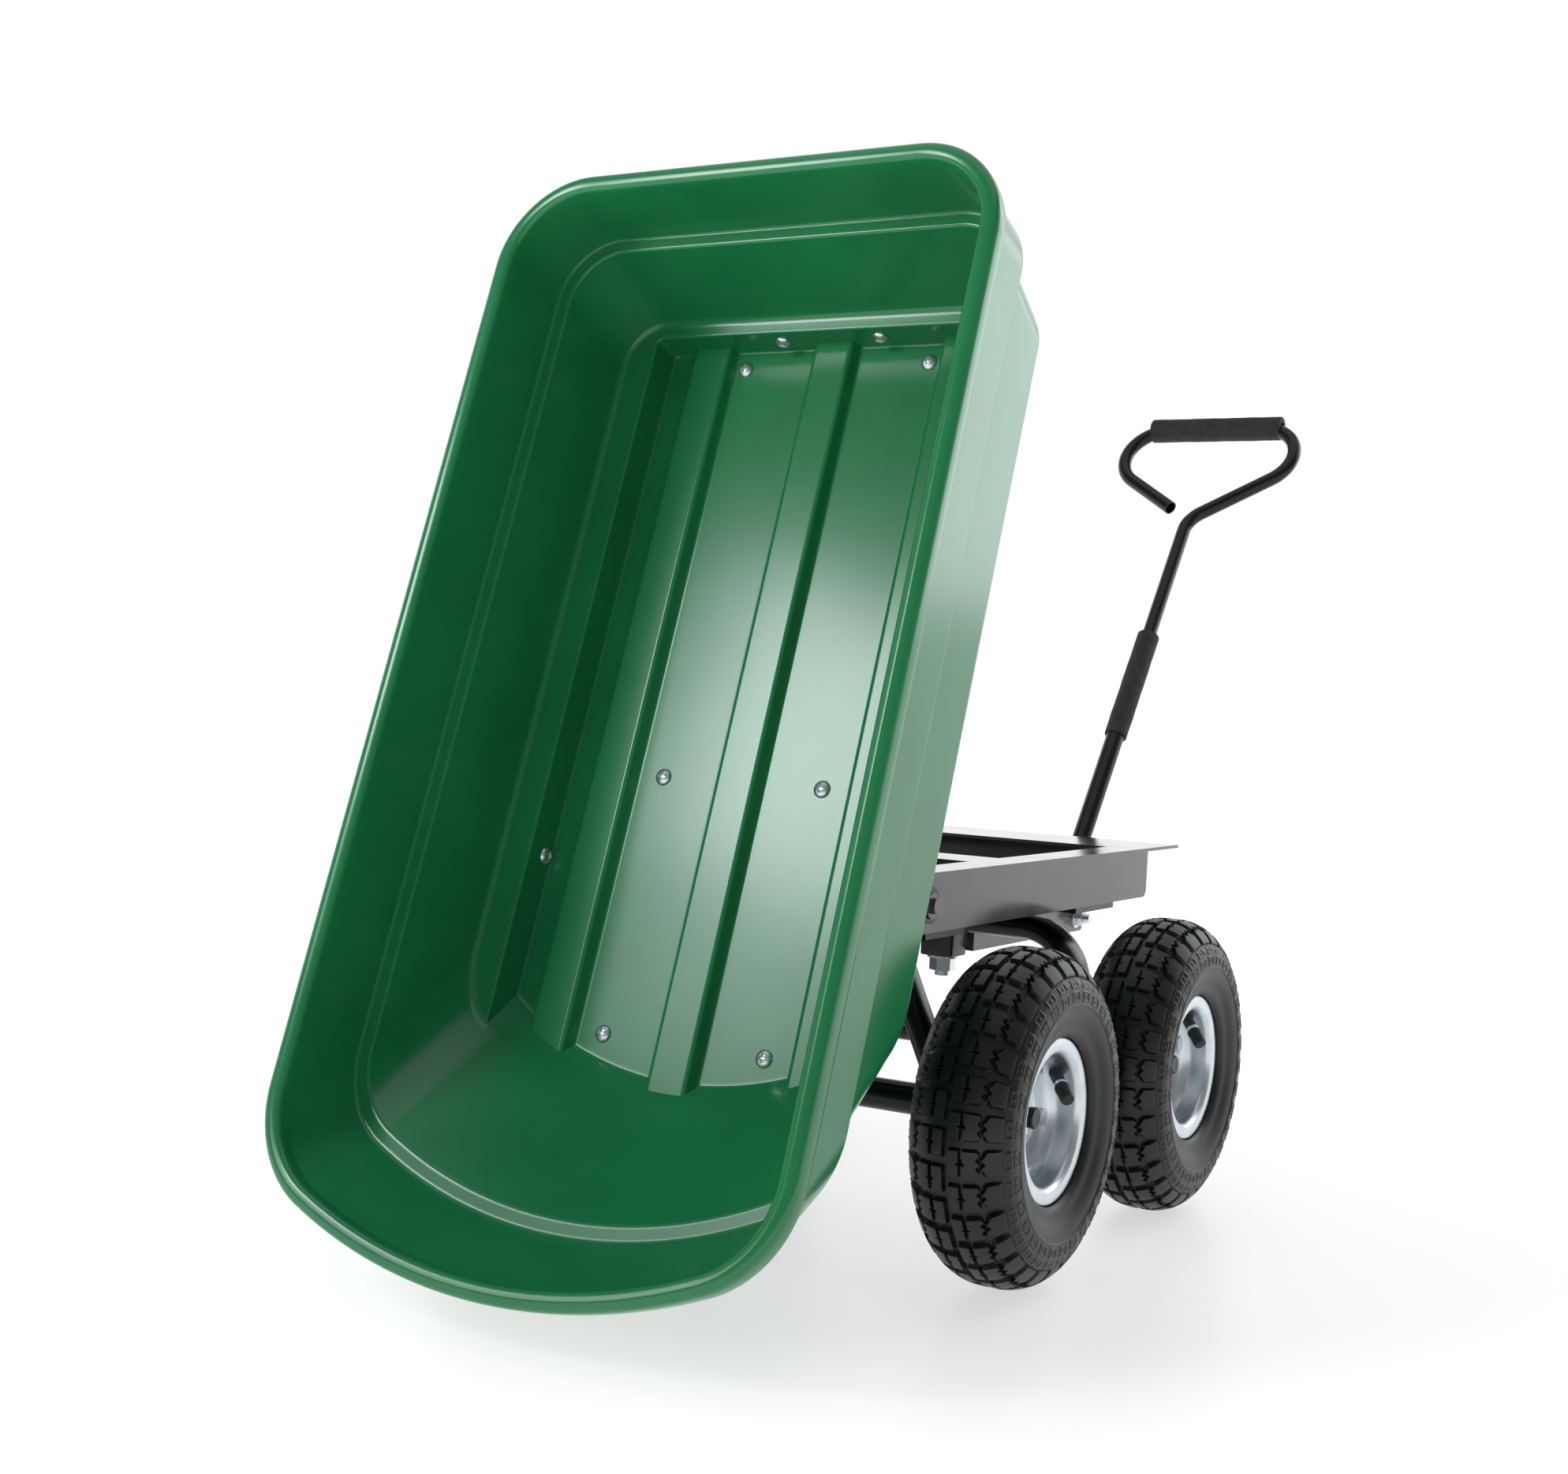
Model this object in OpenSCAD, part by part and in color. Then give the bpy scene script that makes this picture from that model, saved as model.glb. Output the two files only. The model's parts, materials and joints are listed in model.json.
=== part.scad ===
/* [Tub] */
// Outside length of the tub's rim
rim_length = 862; // [840:1:900]
// Outside width of the tub's rim
rim_width = 445; // [430:1:460]
// Depth of the tub from rim to floor
tub_depth = 187; // [175:1:205]
// Wall thickness of the tub
wall = 4; // [3:0.5:5]
// How far the rim stands ahead of the foot of the head wall
head_overhang = 62; // [55:1:70]
// Width of the rolled rim
rim_roll = 10; // [8:0.5:12]
// Height of the upper shelf above the floor
upper_shelf = 115; // [105:1:125]
// Width of the upper shelf
shelf_width = 12; // [8:0.5:14]
// Height of the lower shelf above the floor
lower_shelf = 30; // [26:1:36]
// Inside width of the recessed floor
recess_width = 326; // [310:1:332]
// Length of the recessed floor
floor_length = 620; // [600:1:640]
// Height of the floor ribs
rib_height = 10; // [5:0.5:14]
// Width of the middle rib at its foot
rib_foot = 43; // [34:1:50]
// Width of a rib across its top
rib_top = 34; // [24:1:34]
// Inner edge of each outer rib, from the middle
outer_rib_edge = 97; // [92:1:104]
// Angle through which the tub tips
tip_angle = 71.4; // [65:0.1:74]

/* [Tub hinge and latch] */
// Hinge behind the rear axle
hinge_back = 71; // [66:0.5:76]
// Hinge from the head wall, along the floor
hinge_from_head = 457; // [452:1:462]
// Hinge below the inside floor
hinge_drop = 25; // [22:0.5:28]
// Diameter of the hinge rod
hinge_rod_d = 12; // [10:0.5:14]
// Thickness of the hinge brackets
bracket_gauge = 4; // [3:0.5:5]
// Thickness of the straps and the latch plate under the tub
strap_gauge = 3; // [2:0.5:4]
// Width of each runner strap
runner_width = 30; // [26:1:40]
// Angle through which the latch hook swings
latch_swing = 24; // [18:1:25]
// Thickness of the latch hook
hook_gauge = 13; // [9:0.5:15]

/* [Frame] */
// Outside width of the frame
frame_width = 300; // [290:1:308]
// Height of the frame's top above the ground
frame_top = 310; // [305:1:320]
// Height of the side rails
rail_height = 46.5; // [42:0.5:48]
// Sheet thickness of the frame
frame_gauge = 3; // [2:0.5:4]
// Width of the rails' top flange
rail_flange = 32; // [26:1:40]
// Front end of the rails, ahead of the rear axle
rail_front = 440; // [432:1:450]
// How far the front plate stands ahead of the rails
front_lip = 85; // [60:1:95]
// Rear edge of the middle cross member, ahead of the rear axle
middle_member_x = 104; // [95:1:120]
// Thickness of the plates over the axles
axle_plate_gauge = 5; // [4:0.5:6]

/* [Axles and wheels] */
// Distance between the axles
wheelbase = 310; // [308:1:320]
// Distance between the middle planes of left and right tyres
track = 439; // [435:1:450]
// Diameter of the axle shafts
axle_d = 16; // [14:0.5:18]
// Outside diameter of the axle tubes
axle_tube_d = 25; // [22:0.5:28]
// Outside diameter of the tyres
tyre_d = 258; // [254:1:258]
// Width of the tyres
tyre_width = 84; // [80:1:88]
// Thickness of the tyre casing
tyre_casing = 8; // [6:0.5:10]
// Depth of the grooves between the tyre's lugs
tread_depth = 3.2; // [2:0.2:4]
// Number of lugs on each side of a tyre
lug_count = 30; // [24:1:32]
// Outside diameter of the rim flanges
rim_d = 127; // [124:1:130]
// Width over the rim flanges
rim_w = 51; // [48:1:54]
// Sheet thickness of the rims
rim_gauge = 2; // [1.5:0.25:2.5]
// Radius of the circle of rim bolts
rim_bolt_circle = 34; // [32:0.5:37]

/* [Steering and drawbar] */
// Thickness of the front arch, along its bend
arch_depth = 22; // [18:1:24]
// Width of the front arch, along the cart
arch_width = 40; // [34:1:46]
// Half the straight length of the arch's crown
arch_crown = 85; // [80:1:90]
// Thickness of the turntable disc
turntable_h = 10; // [6:0.5:12]
// Diameter of the kingpin
kingpin_d = 14; // [12:0.5:16]
// Height of the block under the arch
pin_block_h = 24; // [20:1:28]
// Outside width of the drawbar channel
drawbar_width = 44; // [40:1:50]
// Height of the drawbar channel
drawbar_h = 38; // [34:1:42]
// Sheet thickness of the drawbar channel
drawbar_gauge = 3.5; // [2.5:0.5:4.5]
// Handle pivot ahead of the front axle
drawbar_reach = 270; // [260:1:280]
// Height of the handle pivot
pivot_z = 221; // [218:0.5:226]

/* [Handle] */
// Lean of the handle from upright
handle_lean = 37; // [30:1:45]
// Diameter of the lower shaft
shaft_d = 20; // [18:0.5:22]
// Diameter of the upper tube and its loop
loop_d = 16; // [14:0.5:16]
// Wall of the handle tubes
handle_wall = 1.5; // [1:0.25:2]
// Length of the lower shaft, from the pivot
shaft_length = 312; // [290:1:330]
// Distance of the grip bar from the pivot
grip_reach = 716; // [690:1:740]
// Bend radius of the loop's corners
corner_r = 47; // [42:1:50]
// Half the straight length of the grip bar
grip_half = 59; // [55:1:65]
// Length of the foam grip
grip_length = 164; // [150:1:176]
// Diameter of the foam grip
grip_d = 29; // [26:0.5:32]
// Length of the foam sleeve on the shaft
sleeve_length = 146; // [130:1:156]
// Diameter of the foam sleeve
sleeve_d = 25.5; // [24:0.5:28]

/* [Hidden] */
$fn = 64;

// Colours
green = [0.12, 0.42, 0.24];
frame_grey = [0.27, 0.27, 0.28];
gloss_black = [0.05, 0.05, 0.055];
zinc = [0.72, 0.74, 0.76];
tyre_black = [0.09, 0.09, 0.095];
foam_black = [0.16, 0.17, 0.17];
nylon = [0.12, 0.12, 0.12];

// Small clearances: a bolt or shaft in its hole, a running bore, and faces that pass each other
fit = 0.1;
running = 0.06;
face_gap = 0.3;

// The origin lies on the ground, halfway along the cart from the tub's lip to the handle's grip
wheel_r = tyre_d / 2;
hinge_x = -hinge_back;
floor_gap = 0.5;
hinge_z = frame_top + floor_gap + wall - hinge_drop;
pivot_x = wheelbase + drawbar_reach;
lip_from_hinge = rim_length - head_overhang - hinge_from_head;
lip_reach = (lip_from_hinge - rim_roll / 2) * cos(tip_angle) + (tub_depth + hinge_drop) * sin(tip_angle);
tub_rear = hinge_x - lip_reach;
grip_front = pivot_x + grip_reach * sin(handle_lean) + grip_d / 2;
origin_x = (tub_rear + grip_front) / 2;

// Frame levels
rail_foot = frame_top - rail_height;
plate_foot = rail_foot - axle_plate_gauge;
half_frame = frame_width / 2;
half_opening = half_frame - rail_flange;
underside_gap = hinge_drop - wall;
rail_end_r = underside_gap - face_gap;
rail_rear = hinge_x - rail_end_r;
rail_corner_r = 8;

// Bolts through the tub: M8 with pan heads inside and hexagon nuts outside
bolt_d = 8;
bolt_hole_d = bolt_d + 2 * fit;
bolt_head_d = 14;
bolt_head_h = 4;
nut_d = 15;
nut_h = 6.5;
bolt_tail = 2;
floor_bolts = [[17, 87], [381, 73], [591, 73]];
head_bolt_y = 46;
head_bolt_z = 15;
side_bolt_z = 8;

// Hinge between the frame and the tub
half_recess = recess_width / 2;
bracket_y = half_recess + wall + face_gap;
bracket_r = 14;
bracket_top = lower_shelf - wall - 3;
clip_gauge = 1.5;
clip_d = 20;
rod_end = bracket_y + bracket_gauge + clip_gauge + 4;

// Latch at the tub's head, in the tub's own frame with the hinge as its origin
head_face = hinge_from_head + wall;
latch_pin_d = 6;
latch_pin_x = head_face + strap_gauge + 16;
latch_pin_z = hinge_drop + head_bolt_z;
latch_boss_r = 7;
hook_edge_x = hinge_x + latch_pin_x + 5;
hook_arm = 6;
hook_toe_top = frame_top - frame_gauge - 1 - hinge_z - latch_pin_z;
hook_toe_x = 12;
hook_tab = 32;
ear_gauge = 3;
ear_y = hook_gauge / 2 + face_gap;

// Axles
hub_d = 30;
hub_outer = 3;
tube_end = track / 2 - 47.4;
washer_gauge = 1.5;
washer_d = 32;
hub_inner = track / 2 - tube_end - washer_gauge - 2 * face_gap;
pin_d = 3;
pin_at = hub_outer + face_gap + washer_gauge + pin_d / 2 + 0.1;
shaft_end = track / 2 + pin_at + pin_d + 1;
rear_leg_width = 21;
rear_leg_depth = 26;
rear_leg_top_y = 100;
rear_leg_foot_y = 160;

// Front arch, turntable and kingpin
turntable_d = 110;
turntable_top = plate_foot - face_gap;
arch_top = turntable_top - turntable_h;
arch_foot = arch_top - arch_depth;
arch_bend_r = 50;
arch_bend = 75;
arch_bend_z = arch_top - arch_depth / 2 - arch_bend_r;
arch_gauge = 3.5;
pin_block = 34;
pin_block_foot = arch_foot - pin_block_h;
kingpin_head_d = 24;
kingpin_head_h = 9;
kingpin_nut_d = 25;
kingpin_nut_h = 12;
kingpin_washer_h = 2;
kingpin_washer_d = 30;
kingpin_end = pin_block_foot - face_gap - kingpin_washer_h - kingpin_nut_h - 5;

// Drawbar and handle pivot
drawbar_rear = wheelbase + arch_width / 2;
nose_length = 22;
floor_setback = 40;
pivot_rise = 15;
drawbar_nose = pivot_x + nose_length;
drawbar_foot = pivot_z - pivot_rise;
drawbar_floor_end = pivot_x - floor_setback;
drawbar_corner = 8;
pivot_d = 10;
pivot_nut_d = 19;
pivot_nut_h = 8;
pivot_washer_d = 22;
eye_d = 26;
eye_half = drawbar_width / 2 - drawbar_gauge - face_gap;

// Handle loop, in its own plane: across the cart, and along the handle from the pivot
leg_rise = 3 / 4;
leg_slope = atan(leg_rise);
corner_y = grip_half;
corner_s = grip_reach - corner_r;
leg_end = [corner_y + corner_r * sin(leg_slope), corner_s - corner_r * cos(leg_slope)];
fork_s = leg_end[1] - leg_end[0] * leg_rise;
fork_r = 36;
fork_tangent = fork_r * tan((90 - leg_slope) / 2);
loose_end_y = 26;
loop_insert = 80;
sleeve_start = shaft_length - sleeve_length / 2;

// Wheels, in their own frame: axis along Z, outwards
shoulder_r = tyre_width / 2 - 6;
crown_half = tyre_width / 2 - shoulder_r;
section_r = wheel_r - shoulder_r;
rim_half = rim_w / 2;
rim_r = rim_d / 2;
barrel_r = rim_r - 11.5;
bead_half = rim_half - rim_gauge + 0.2;
bead_depth = 7.5;
throat = bead_half - bead_depth;
tube_gap = 0.6;
tube_wall = 2;
valve_d = 10;
valve_tip_r = 24;
valve_lean = 38;
valve_s = throat - valve_d / 2 / cos(valve_lean) - 0.5;
rim_bolt_count = 4;

// Where each wheel has come to rest: the angle of its valve, then of its first rim bolt
rear_turns = [36, 81];
front_turns = [53, 23];

// Grooves across the tread, from its middle to the feet of the lugs on the shoulder
groove_half = 4.1;
groove_start = 1.2;
lug_foot = shoulder_r / 2;

// Rings of the tub's skin, each [head, half width, lip, head corner, rear corner, rear sweep] at a height.
// u runs from the head wall towards the lip, v to the left, and w up from the inside floor.
rim_lip = rim_length - head_overhang;
rim_half_w = rim_width / 2;
rear_flare = 42;
head_lean = 20;
side_lean = 4.5;
upper_lean = 4;
upper_lean_head = 6;
floor_sweep = 285;
rim_corner_r = 76;
rim_rear_r = 88;
rim_sweep = 430;
shelf_corner_r = 55;
shelf_rear_r = 75;
shelf_sweep = 385;
bowl_corner_r = 40;
bowl_rear_r = 80;
bowl_sweep = 320;
ramp_rise = 28;
roll_drop = tub_depth - 19;

function rim_ring(inset) = [
    -head_overhang + inset, rim_half_w - inset, rim_lip - inset,
    rim_corner_r - inset, rim_rear_r - inset, rim_sweep - inset
];
function grown(ring, by) = [
    ring[0] - by, ring[1] + by, ring[2] + by, ring[3] + by, ring[4] + by, ring[5] + by
];
shelf_outer = [
    -head_overhang + rim_roll + upper_lean_head, rim_half_w - rim_roll - upper_lean,
    rim_lip - rim_roll - rear_flare, shelf_corner_r, shelf_rear_r, shelf_sweep
];
shelf_inner = grown(shelf_outer, -shelf_width);
bowl_foot = [
    shelf_inner[0] + head_lean, shelf_inner[1] - side_lean, floor_length + ramp_rise,
    bowl_corner_r, bowl_rear_r, bowl_sweep
];

function rear_centre(ring) =
    ring[2] - ring[5] + sqrt(pow(ring[5] - ring[4], 2) - pow(ring[1] - ring[4], 2));
function rear_turn(ring) = atan2(ring[1] - ring[4], rear_centre(ring) - ring[2] + ring[5]);
meet_angle = asin((half_recess - bowl_foot[1] + bowl_foot[4]) / bowl_foot[4]);
meet_share = (90 - meet_angle) / (90 - rear_turn(bowl_foot));
meet_u = rear_centre(bowl_foot) + bowl_foot[4] * cos(meet_angle);

corner_steps = 8;
side_steps = 4;
meet_steps = 5;
turn_steps = 3;
sweep_steps = 6;

function mirrored(half) =
    concat(half, [for (i = [len(half) - 2:-1:0]) [half[i][0], -half[i][1], half[i][2]]]);

// Left half of a ring, from the head to the middle of the lip
function ring_half(ring, w) =
    let (
        uc = rear_centre(ring),
        vc = ring[1] - ring[4],
        turn = rear_turn(ring),
        meet = 90 - meet_share * (90 - turn)
    )
    concat(
        [for (i = [0:corner_steps])
            let (a = 180 - 90 * i / corner_steps)
            [ring[0] + ring[3] + ring[3] * cos(a), ring[1] - ring[3] + ring[3] * sin(a), w]],
        [for (i = [1:side_steps - 1])
            [ring[0] + ring[3] + (uc - ring[0] - ring[3]) * i / side_steps, ring[1], w]],
        [for (i = [0:meet_steps])
            let (a = 90 - (90 - meet) * i / meet_steps)
            [uc + ring[4] * cos(a), vc + ring[4] * sin(a), w]],
        [for (i = [1:turn_steps])
            let (a = meet - (meet - turn) * i / turn_steps)
            [uc + ring[4] * cos(a), vc + ring[4] * sin(a), w]],
        [for (i = [1:sweep_steps])
            let (a = turn * (1 - i / sweep_steps))
            [ring[2] - ring[5] + ring[5] * cos(a), ring[5] * sin(a), w]]
    );

// Left half of the recessed floor's edge, with the skin grown outwards by a thickness
floor_corner_r = 5;
function floor_half(by, w) =
    let (
        half = half_recess + by,
        r = floor_corner_r + by,
        sweep = floor_sweep + by,
        lip = floor_length + by,
        start_turn = asin(half / sweep),
        start_u = lip - sweep + sweep * cos(start_turn),
        side_u = rear_centre(bowl_foot)
    )
    concat(
        [for (i = [0:corner_steps])
            let (a = 180 - 90 * i / corner_steps)
            [r - by + r * cos(a), half - r + r * sin(a), w]],
        [for (i = [1:side_steps - 1]) [r - by + (side_u - r + by) * i / side_steps, half, w]],
        [for (i = [0:meet_steps]) [side_u + (start_u - side_u) * i / meet_steps, half, w]],
        [for (i = [1:turn_steps + sweep_steps])
            let (a = start_turn * (1 - i / (turn_steps + sweep_steps)))
            [lip - sweep + sweep * cos(a), sweep * sin(a), w]]
    );

// Left half of the lower shelf's inner edge, which runs into the ramp at the rear
seam = 0.02;
function recess_half(by, w, bowl, floor_edge) =
    let (
        half = half_recess + by,
        r = floor_corner_r + by,
        side_u = rear_centre(bowl_foot),
        first_ramp = corner_steps + side_steps + meet_steps
    )
    concat(
        [for (i = [0:corner_steps])
            let (a = 180 - 90 * i / corner_steps)
            [r - by + r * cos(a), half - r + r * sin(a), w]],
        [for (i = [1:side_steps - 1]) [r - by + (side_u - r + by) * i / side_steps, half, w]],
        [for (i = [0:meet_steps - 1]) [side_u + (meet_u - side_u) * i / meet_steps, half, w]],
        [for (i = [first_ramp:len(bowl) - 1]) bowl[i] + seam * (floor_edge[i] - bowl[i])]
    );

inner_bowl = ring_half(bowl_foot, lower_shelf);
outer_bowl = ring_half(grown(bowl_foot, wall), lower_shelf - wall);
inner_floor = floor_half(0, 0);
outer_floor = floor_half(wall, -wall);
tub_rings = [
    inner_floor,
    recess_half(0, lower_shelf, inner_bowl, inner_floor),
    inner_bowl,
    ring_half(shelf_inner, upper_shelf - 1),
    ring_half(shelf_outer, upper_shelf + 1),
    ring_half(rim_ring(rim_roll + 0.5), tub_depth - 9),
    ring_half(rim_ring(rim_roll - 1.5), tub_depth - 2.5),
    ring_half(rim_ring(rim_roll / 2), tub_depth),
    ring_half(rim_ring(1.5), tub_depth - 2.5),
    ring_half(rim_ring(0), tub_depth - 8),
    ring_half(rim_ring(1), roll_drop),
    ring_half(rim_ring(rim_roll - wall + 0.5), roll_drop - 1.5),
    ring_half(grown(shelf_outer, wall), upper_shelf + 1 - wall),
    ring_half(grown(shelf_inner, wall), upper_shelf - 1 - wall),
    outer_bowl,
    recess_half(wall, lower_shelf - wall, outer_bowl, outer_floor),
    outer_floor
];

// A solid between rings of points, closed at both ends
module lofted(rings) {
    count = len(rings[0]);
    last = len(rings) - 1;
    points = [for (ring = rings) each ring];
    bands = [for (k = [0:last - 1], i = [0:count - 1])
        let (a = k * count + i, b = k * count + (i + 1) % count)
        each [[a, b + count, b], [a, a + count, b + count]]];
    polyhedron(
        points,
        concat(
            bands,
            [[for (i = [0:count - 1]) i]],
            [[for (i = [count - 1:-1:0]) last * count + i]]
        )
    );
}

module in_tub_frame() {
    translate([hinge_x, 0, hinge_z])
        rotate([0, -tip_angle, 0])
            children();
}

// From the tub's u, v, w to the tub's frame about the hinge
module from_floor() {
    translate([hinge_from_head, 0, hinge_drop])
        mirror([1, 0, 0])
            children();
}

module rod_y(d, from, to) {
    translate([0, from, 0])
        rotate([-90, 0, 0])
            cylinder(d = d, h = to - from);
}

// Extrudes an outline drawn across the cart and up, along the cart
module along_x(from, to) {
    translate([from, 0, 0])
        rotate([90, 0, 90])
            linear_extrude(to - from)
                children();
}

// Extrudes an outline drawn along the cart and up, across the cart
module along_y(from, to) {
    translate([0, to, 0])
        rotate([90, 0, 0])
            linear_extrude(to - from)
                children();
}

module on_side(side) {
    mirror([0, side < 0 ? 1 : 0, 0])
        children();
}

module both_sides() {
    for (side = [-1, 1])
        on_side(side)
            children();
}

module pan_bolt(grip) {
    dome_r = (pow(bolt_head_d / 2, 2) + pow(bolt_head_h, 2)) / (2 * bolt_head_h);
    rotate_extrude()
        intersection() {
            translate([0, bolt_head_h - dome_r])
                circle(r = dome_r);
            square([bolt_head_d, bolt_head_h]);
        }
    translate([0, 0, -grip - nut_h - bolt_tail])
        cylinder(d = bolt_d, h = grip + nut_h + bolt_tail);
}

module hex_nut(across, hole, height) {
    difference() {
        cylinder(d = across, h = height, $fn = 6);
        translate([0, 0, -1])
            cylinder(d = hole + 2 * fit, h = height + 2);
    }
}

module washer(outer, hole, height) {
    difference() {
        cylinder(d = outer, h = height);
        translate([0, 0, -1])
            cylinder(d = hole + 2 * fit, h = height + 2);
    }
}

// Places of the bolts through the tub, heads inside along +Z, in the tub's frame
module at_tub_bolts() {
    for (place = floor_bolts, side = [-1, 1])
        translate([hinge_from_head - place[0], side * place[1], hinge_drop])
            children();
    for (side = [-1, 1])
        translate([hinge_from_head, side * head_bolt_y, hinge_drop + head_bolt_z])
            rotate([0, -90, 0])
                children();
    for (side = [-1, 1])
        on_side(side)
            translate([0, half_recess, hinge_drop + side_bolt_z])
                rotate([90, 0, 0])
                    children();
}

// What each bolt clamps below the inside skin: the wall and a plate
module at_tub_nuts() {
    for (place = floor_bolts, side = [-1, 1])
        translate([hinge_from_head - place[0], side * place[1], hinge_drop - wall - strap_gauge - nut_h])
            children();
    for (side = [-1, 1])
        translate([head_face + strap_gauge + nut_h, side * head_bolt_y, hinge_drop + head_bolt_z])
            rotate([0, -90, 0])
                children();
    for (side = [-1, 1])
        on_side(side)
            translate([0, bracket_y + bracket_gauge + nut_h, hinge_drop + side_bolt_z])
                rotate([90, 0, 0])
                    children();
}

module tub_bolt_holes() {
    at_tub_bolts()
        translate([0, 0, -3 * wall])
            cylinder(d = bolt_hole_d, h = 4 * wall);
}

// A floor rib between two values of v, from the head wall into the ramp
module floor_rib(from, to) {
    lean = (rib_foot - rib_top) / 2;
    sink = 0.4;
    tuck = 3;
    slant = rib_height * ramp_rise / lower_shelf;
    intersection() {
        translate([-sink, 0, 0])
            rotate([90, 0, 90])
                linear_extrude(floor_length + 2 * ramp_rise)
                    polygon([
                        [from, -sink], [to, -sink], [to, 0],
                        [to - lean, rib_height], [from + lean, rib_height], [from, 0]
                    ]);
        translate([floor_length - floor_sweep, 0, -sink])
            union() {
                cylinder(r1 = floor_sweep + tuck, r2 = floor_sweep + tuck + slant, h = rib_height + sink);
                translate([-floor_length, -floor_length, 0])
                    cube([floor_length, 2 * floor_length, rib_height + sink]);
            }
    }
}

module tub() {
    color(green)
        in_tub_frame()
            difference() {
                from_floor()
                    union() {
                        lofted([for (half = tub_rings) mirrored(half)]);
                        floor_rib(-rib_foot / 2, rib_foot / 2);
                        both_sides()
                            floor_rib(outer_rib_edge, outer_rib_edge + rib_foot);
                    }
                tub_bolt_holes();
            }
}

module hinge_bracket(side) {
    color(gloss_black)
        in_tub_frame()
            on_side(side)
                along_y(bracket_y, bracket_y + bracket_gauge)
                    difference() {
                        union() {
                            circle(r = bracket_r);
                            translate([-bracket_r, 0])
                                square([2 * bracket_r, hinge_drop + bracket_top]);
                        }
                        circle(d = hinge_rod_d + 2 * running);
                        translate([0, hinge_drop + side_bolt_z])
                            circle(d = bolt_hole_d);
                    }
}

module tub_runners() {
    margin = 20;
    front = hinge_from_head - floor_bolts[1][0] + margin;
    rear = hinge_from_head - floor_bolts[2][0] - margin;
    color(gloss_black)
        in_tub_frame()
            both_sides()
                difference() {
                    translate([rear, floor_bolts[1][1] - runner_width / 2, underside_gap - strap_gauge])
                        cube([front - rear, runner_width, strap_gauge]);
                    for (place = [floor_bolts[1], floor_bolts[2]])
                        translate([hinge_from_head - place[0], place[1], 0])
                            cylinder(d = bolt_hole_d, h = hinge_drop);
                }
}

module tub_bolts() {
    color(zinc)
        in_tub_frame() {
            for (place = floor_bolts, side = [-1, 1])
                translate([hinge_from_head - place[0], side * place[1], hinge_drop])
                    pan_bolt(wall + strap_gauge);
            for (side = [-1, 1])
                translate([hinge_from_head, side * head_bolt_y, hinge_drop + head_bolt_z])
                    rotate([0, -90, 0])
                        pan_bolt(wall + strap_gauge);
            for (side = [-1, 1])
                on_side(side)
                    translate([0, half_recess, hinge_drop + side_bolt_z])
                        rotate([90, 0, 0])
                            pan_bolt(wall + face_gap + bracket_gauge);
        }
}

module tub_nuts() {
    color(zinc)
        in_tub_frame()
            at_tub_nuts()
                hex_nut(nut_d, bolt_d, nut_h);
}

module latch_bracket() {
    foot = 36;
    half = floor_bolts[0][1] + 14;
    ear_front = latch_pin_x + latch_boss_r + 1;
    color(gloss_black)
        in_tub_frame()
            difference() {
                union() {
                    translate([head_face - foot, -half, underside_gap - strap_gauge])
                        cube([foot + strap_gauge, 2 * half, strap_gauge]);
                    translate([head_face, -half, underside_gap - strap_gauge])
                        cube([strap_gauge, 2 * half, bracket_top + wall + strap_gauge]);
                    both_sides()
                        translate([head_face, ear_y, latch_pin_z - latch_boss_r])
                            cube([ear_front - head_face, ear_gauge, 2 * latch_boss_r]);
                }
                at_tub_bolts()
                    translate([0, 0, -hinge_drop])
                        cylinder(d = bolt_hole_d, h = hinge_drop);
                translate([latch_pin_x, 0, latch_pin_z])
                    rod_y(latch_pin_d + 2 * fit, -half, half);
            }
}

module latch_pin() {
    end = ear_y + ear_gauge + 3;
    color(zinc)
        in_tub_frame()
            translate([latch_pin_x, 0, latch_pin_z])
                rod_y(latch_pin_d, -end, end);
}

// The hook hangs behind the front plate's edge. It is drawn closed, then swung open.
module latch_hook() {
    toe_foot = hook_toe_top - hook_arm;
    color(zinc)
        in_tub_frame()
            translate([latch_pin_x, 0, latch_pin_z])
                rotate([0, latch_swing, 0])
                    along_y(-hook_gauge / 2, hook_gauge / 2)
                        difference() {
                            union() {
                                circle(r = latch_boss_r);
                                translate([-hook_arm / 2, toe_foot])
                                    square([hook_arm, -toe_foot]);
                                translate([-hook_arm / 2, toe_foot])
                                    square([hook_toe_x + hook_arm / 2, hook_arm]);
                                translate([0, -hook_arm / 2])
                                    square([hook_tab, hook_arm]);
                            }
                            circle(d = latch_pin_d + 2 * running);
                        }
}

// Side view of a rail: its rear end is rounded about the hinge, so that the tub swings clear of it
module rail_outline() {
    length = rail_front - rail_rear;
    intersection() {
        translate([rail_rear, rail_foot])
            square([length, rail_height]);
        union() {
            translate([hinge_x, hinge_z])
                circle(r = rail_end_r);
            translate([hinge_x, rail_foot])
                square([length, rail_height]);
            translate([rail_rear, rail_foot])
                square([length, hinge_z - rail_foot]);
        }
    }
}

module side_rail(side) {
    color(frame_grey)
        on_side(side)
            difference() {
                union() {
                    along_y(half_frame - frame_gauge, half_frame)
                        difference() {
                            rail_outline();
                            translate([rail_front - rail_corner_r, rail_foot + rail_corner_r])
                                difference() {
                                    translate([0, -rail_corner_r - 1])
                                        square(rail_corner_r + 1);
                                    circle(r = rail_corner_r);
                                }
                        }
                    translate([hinge_x, half_opening, frame_top - frame_gauge])
                        cube([rail_front - hinge_x, rail_flange, frame_gauge]);
                }
                translate([hinge_x, 0, hinge_z])
                    rod_y(hinge_rod_d + 2 * fit, 0, frame_width);
            }
}

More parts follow.
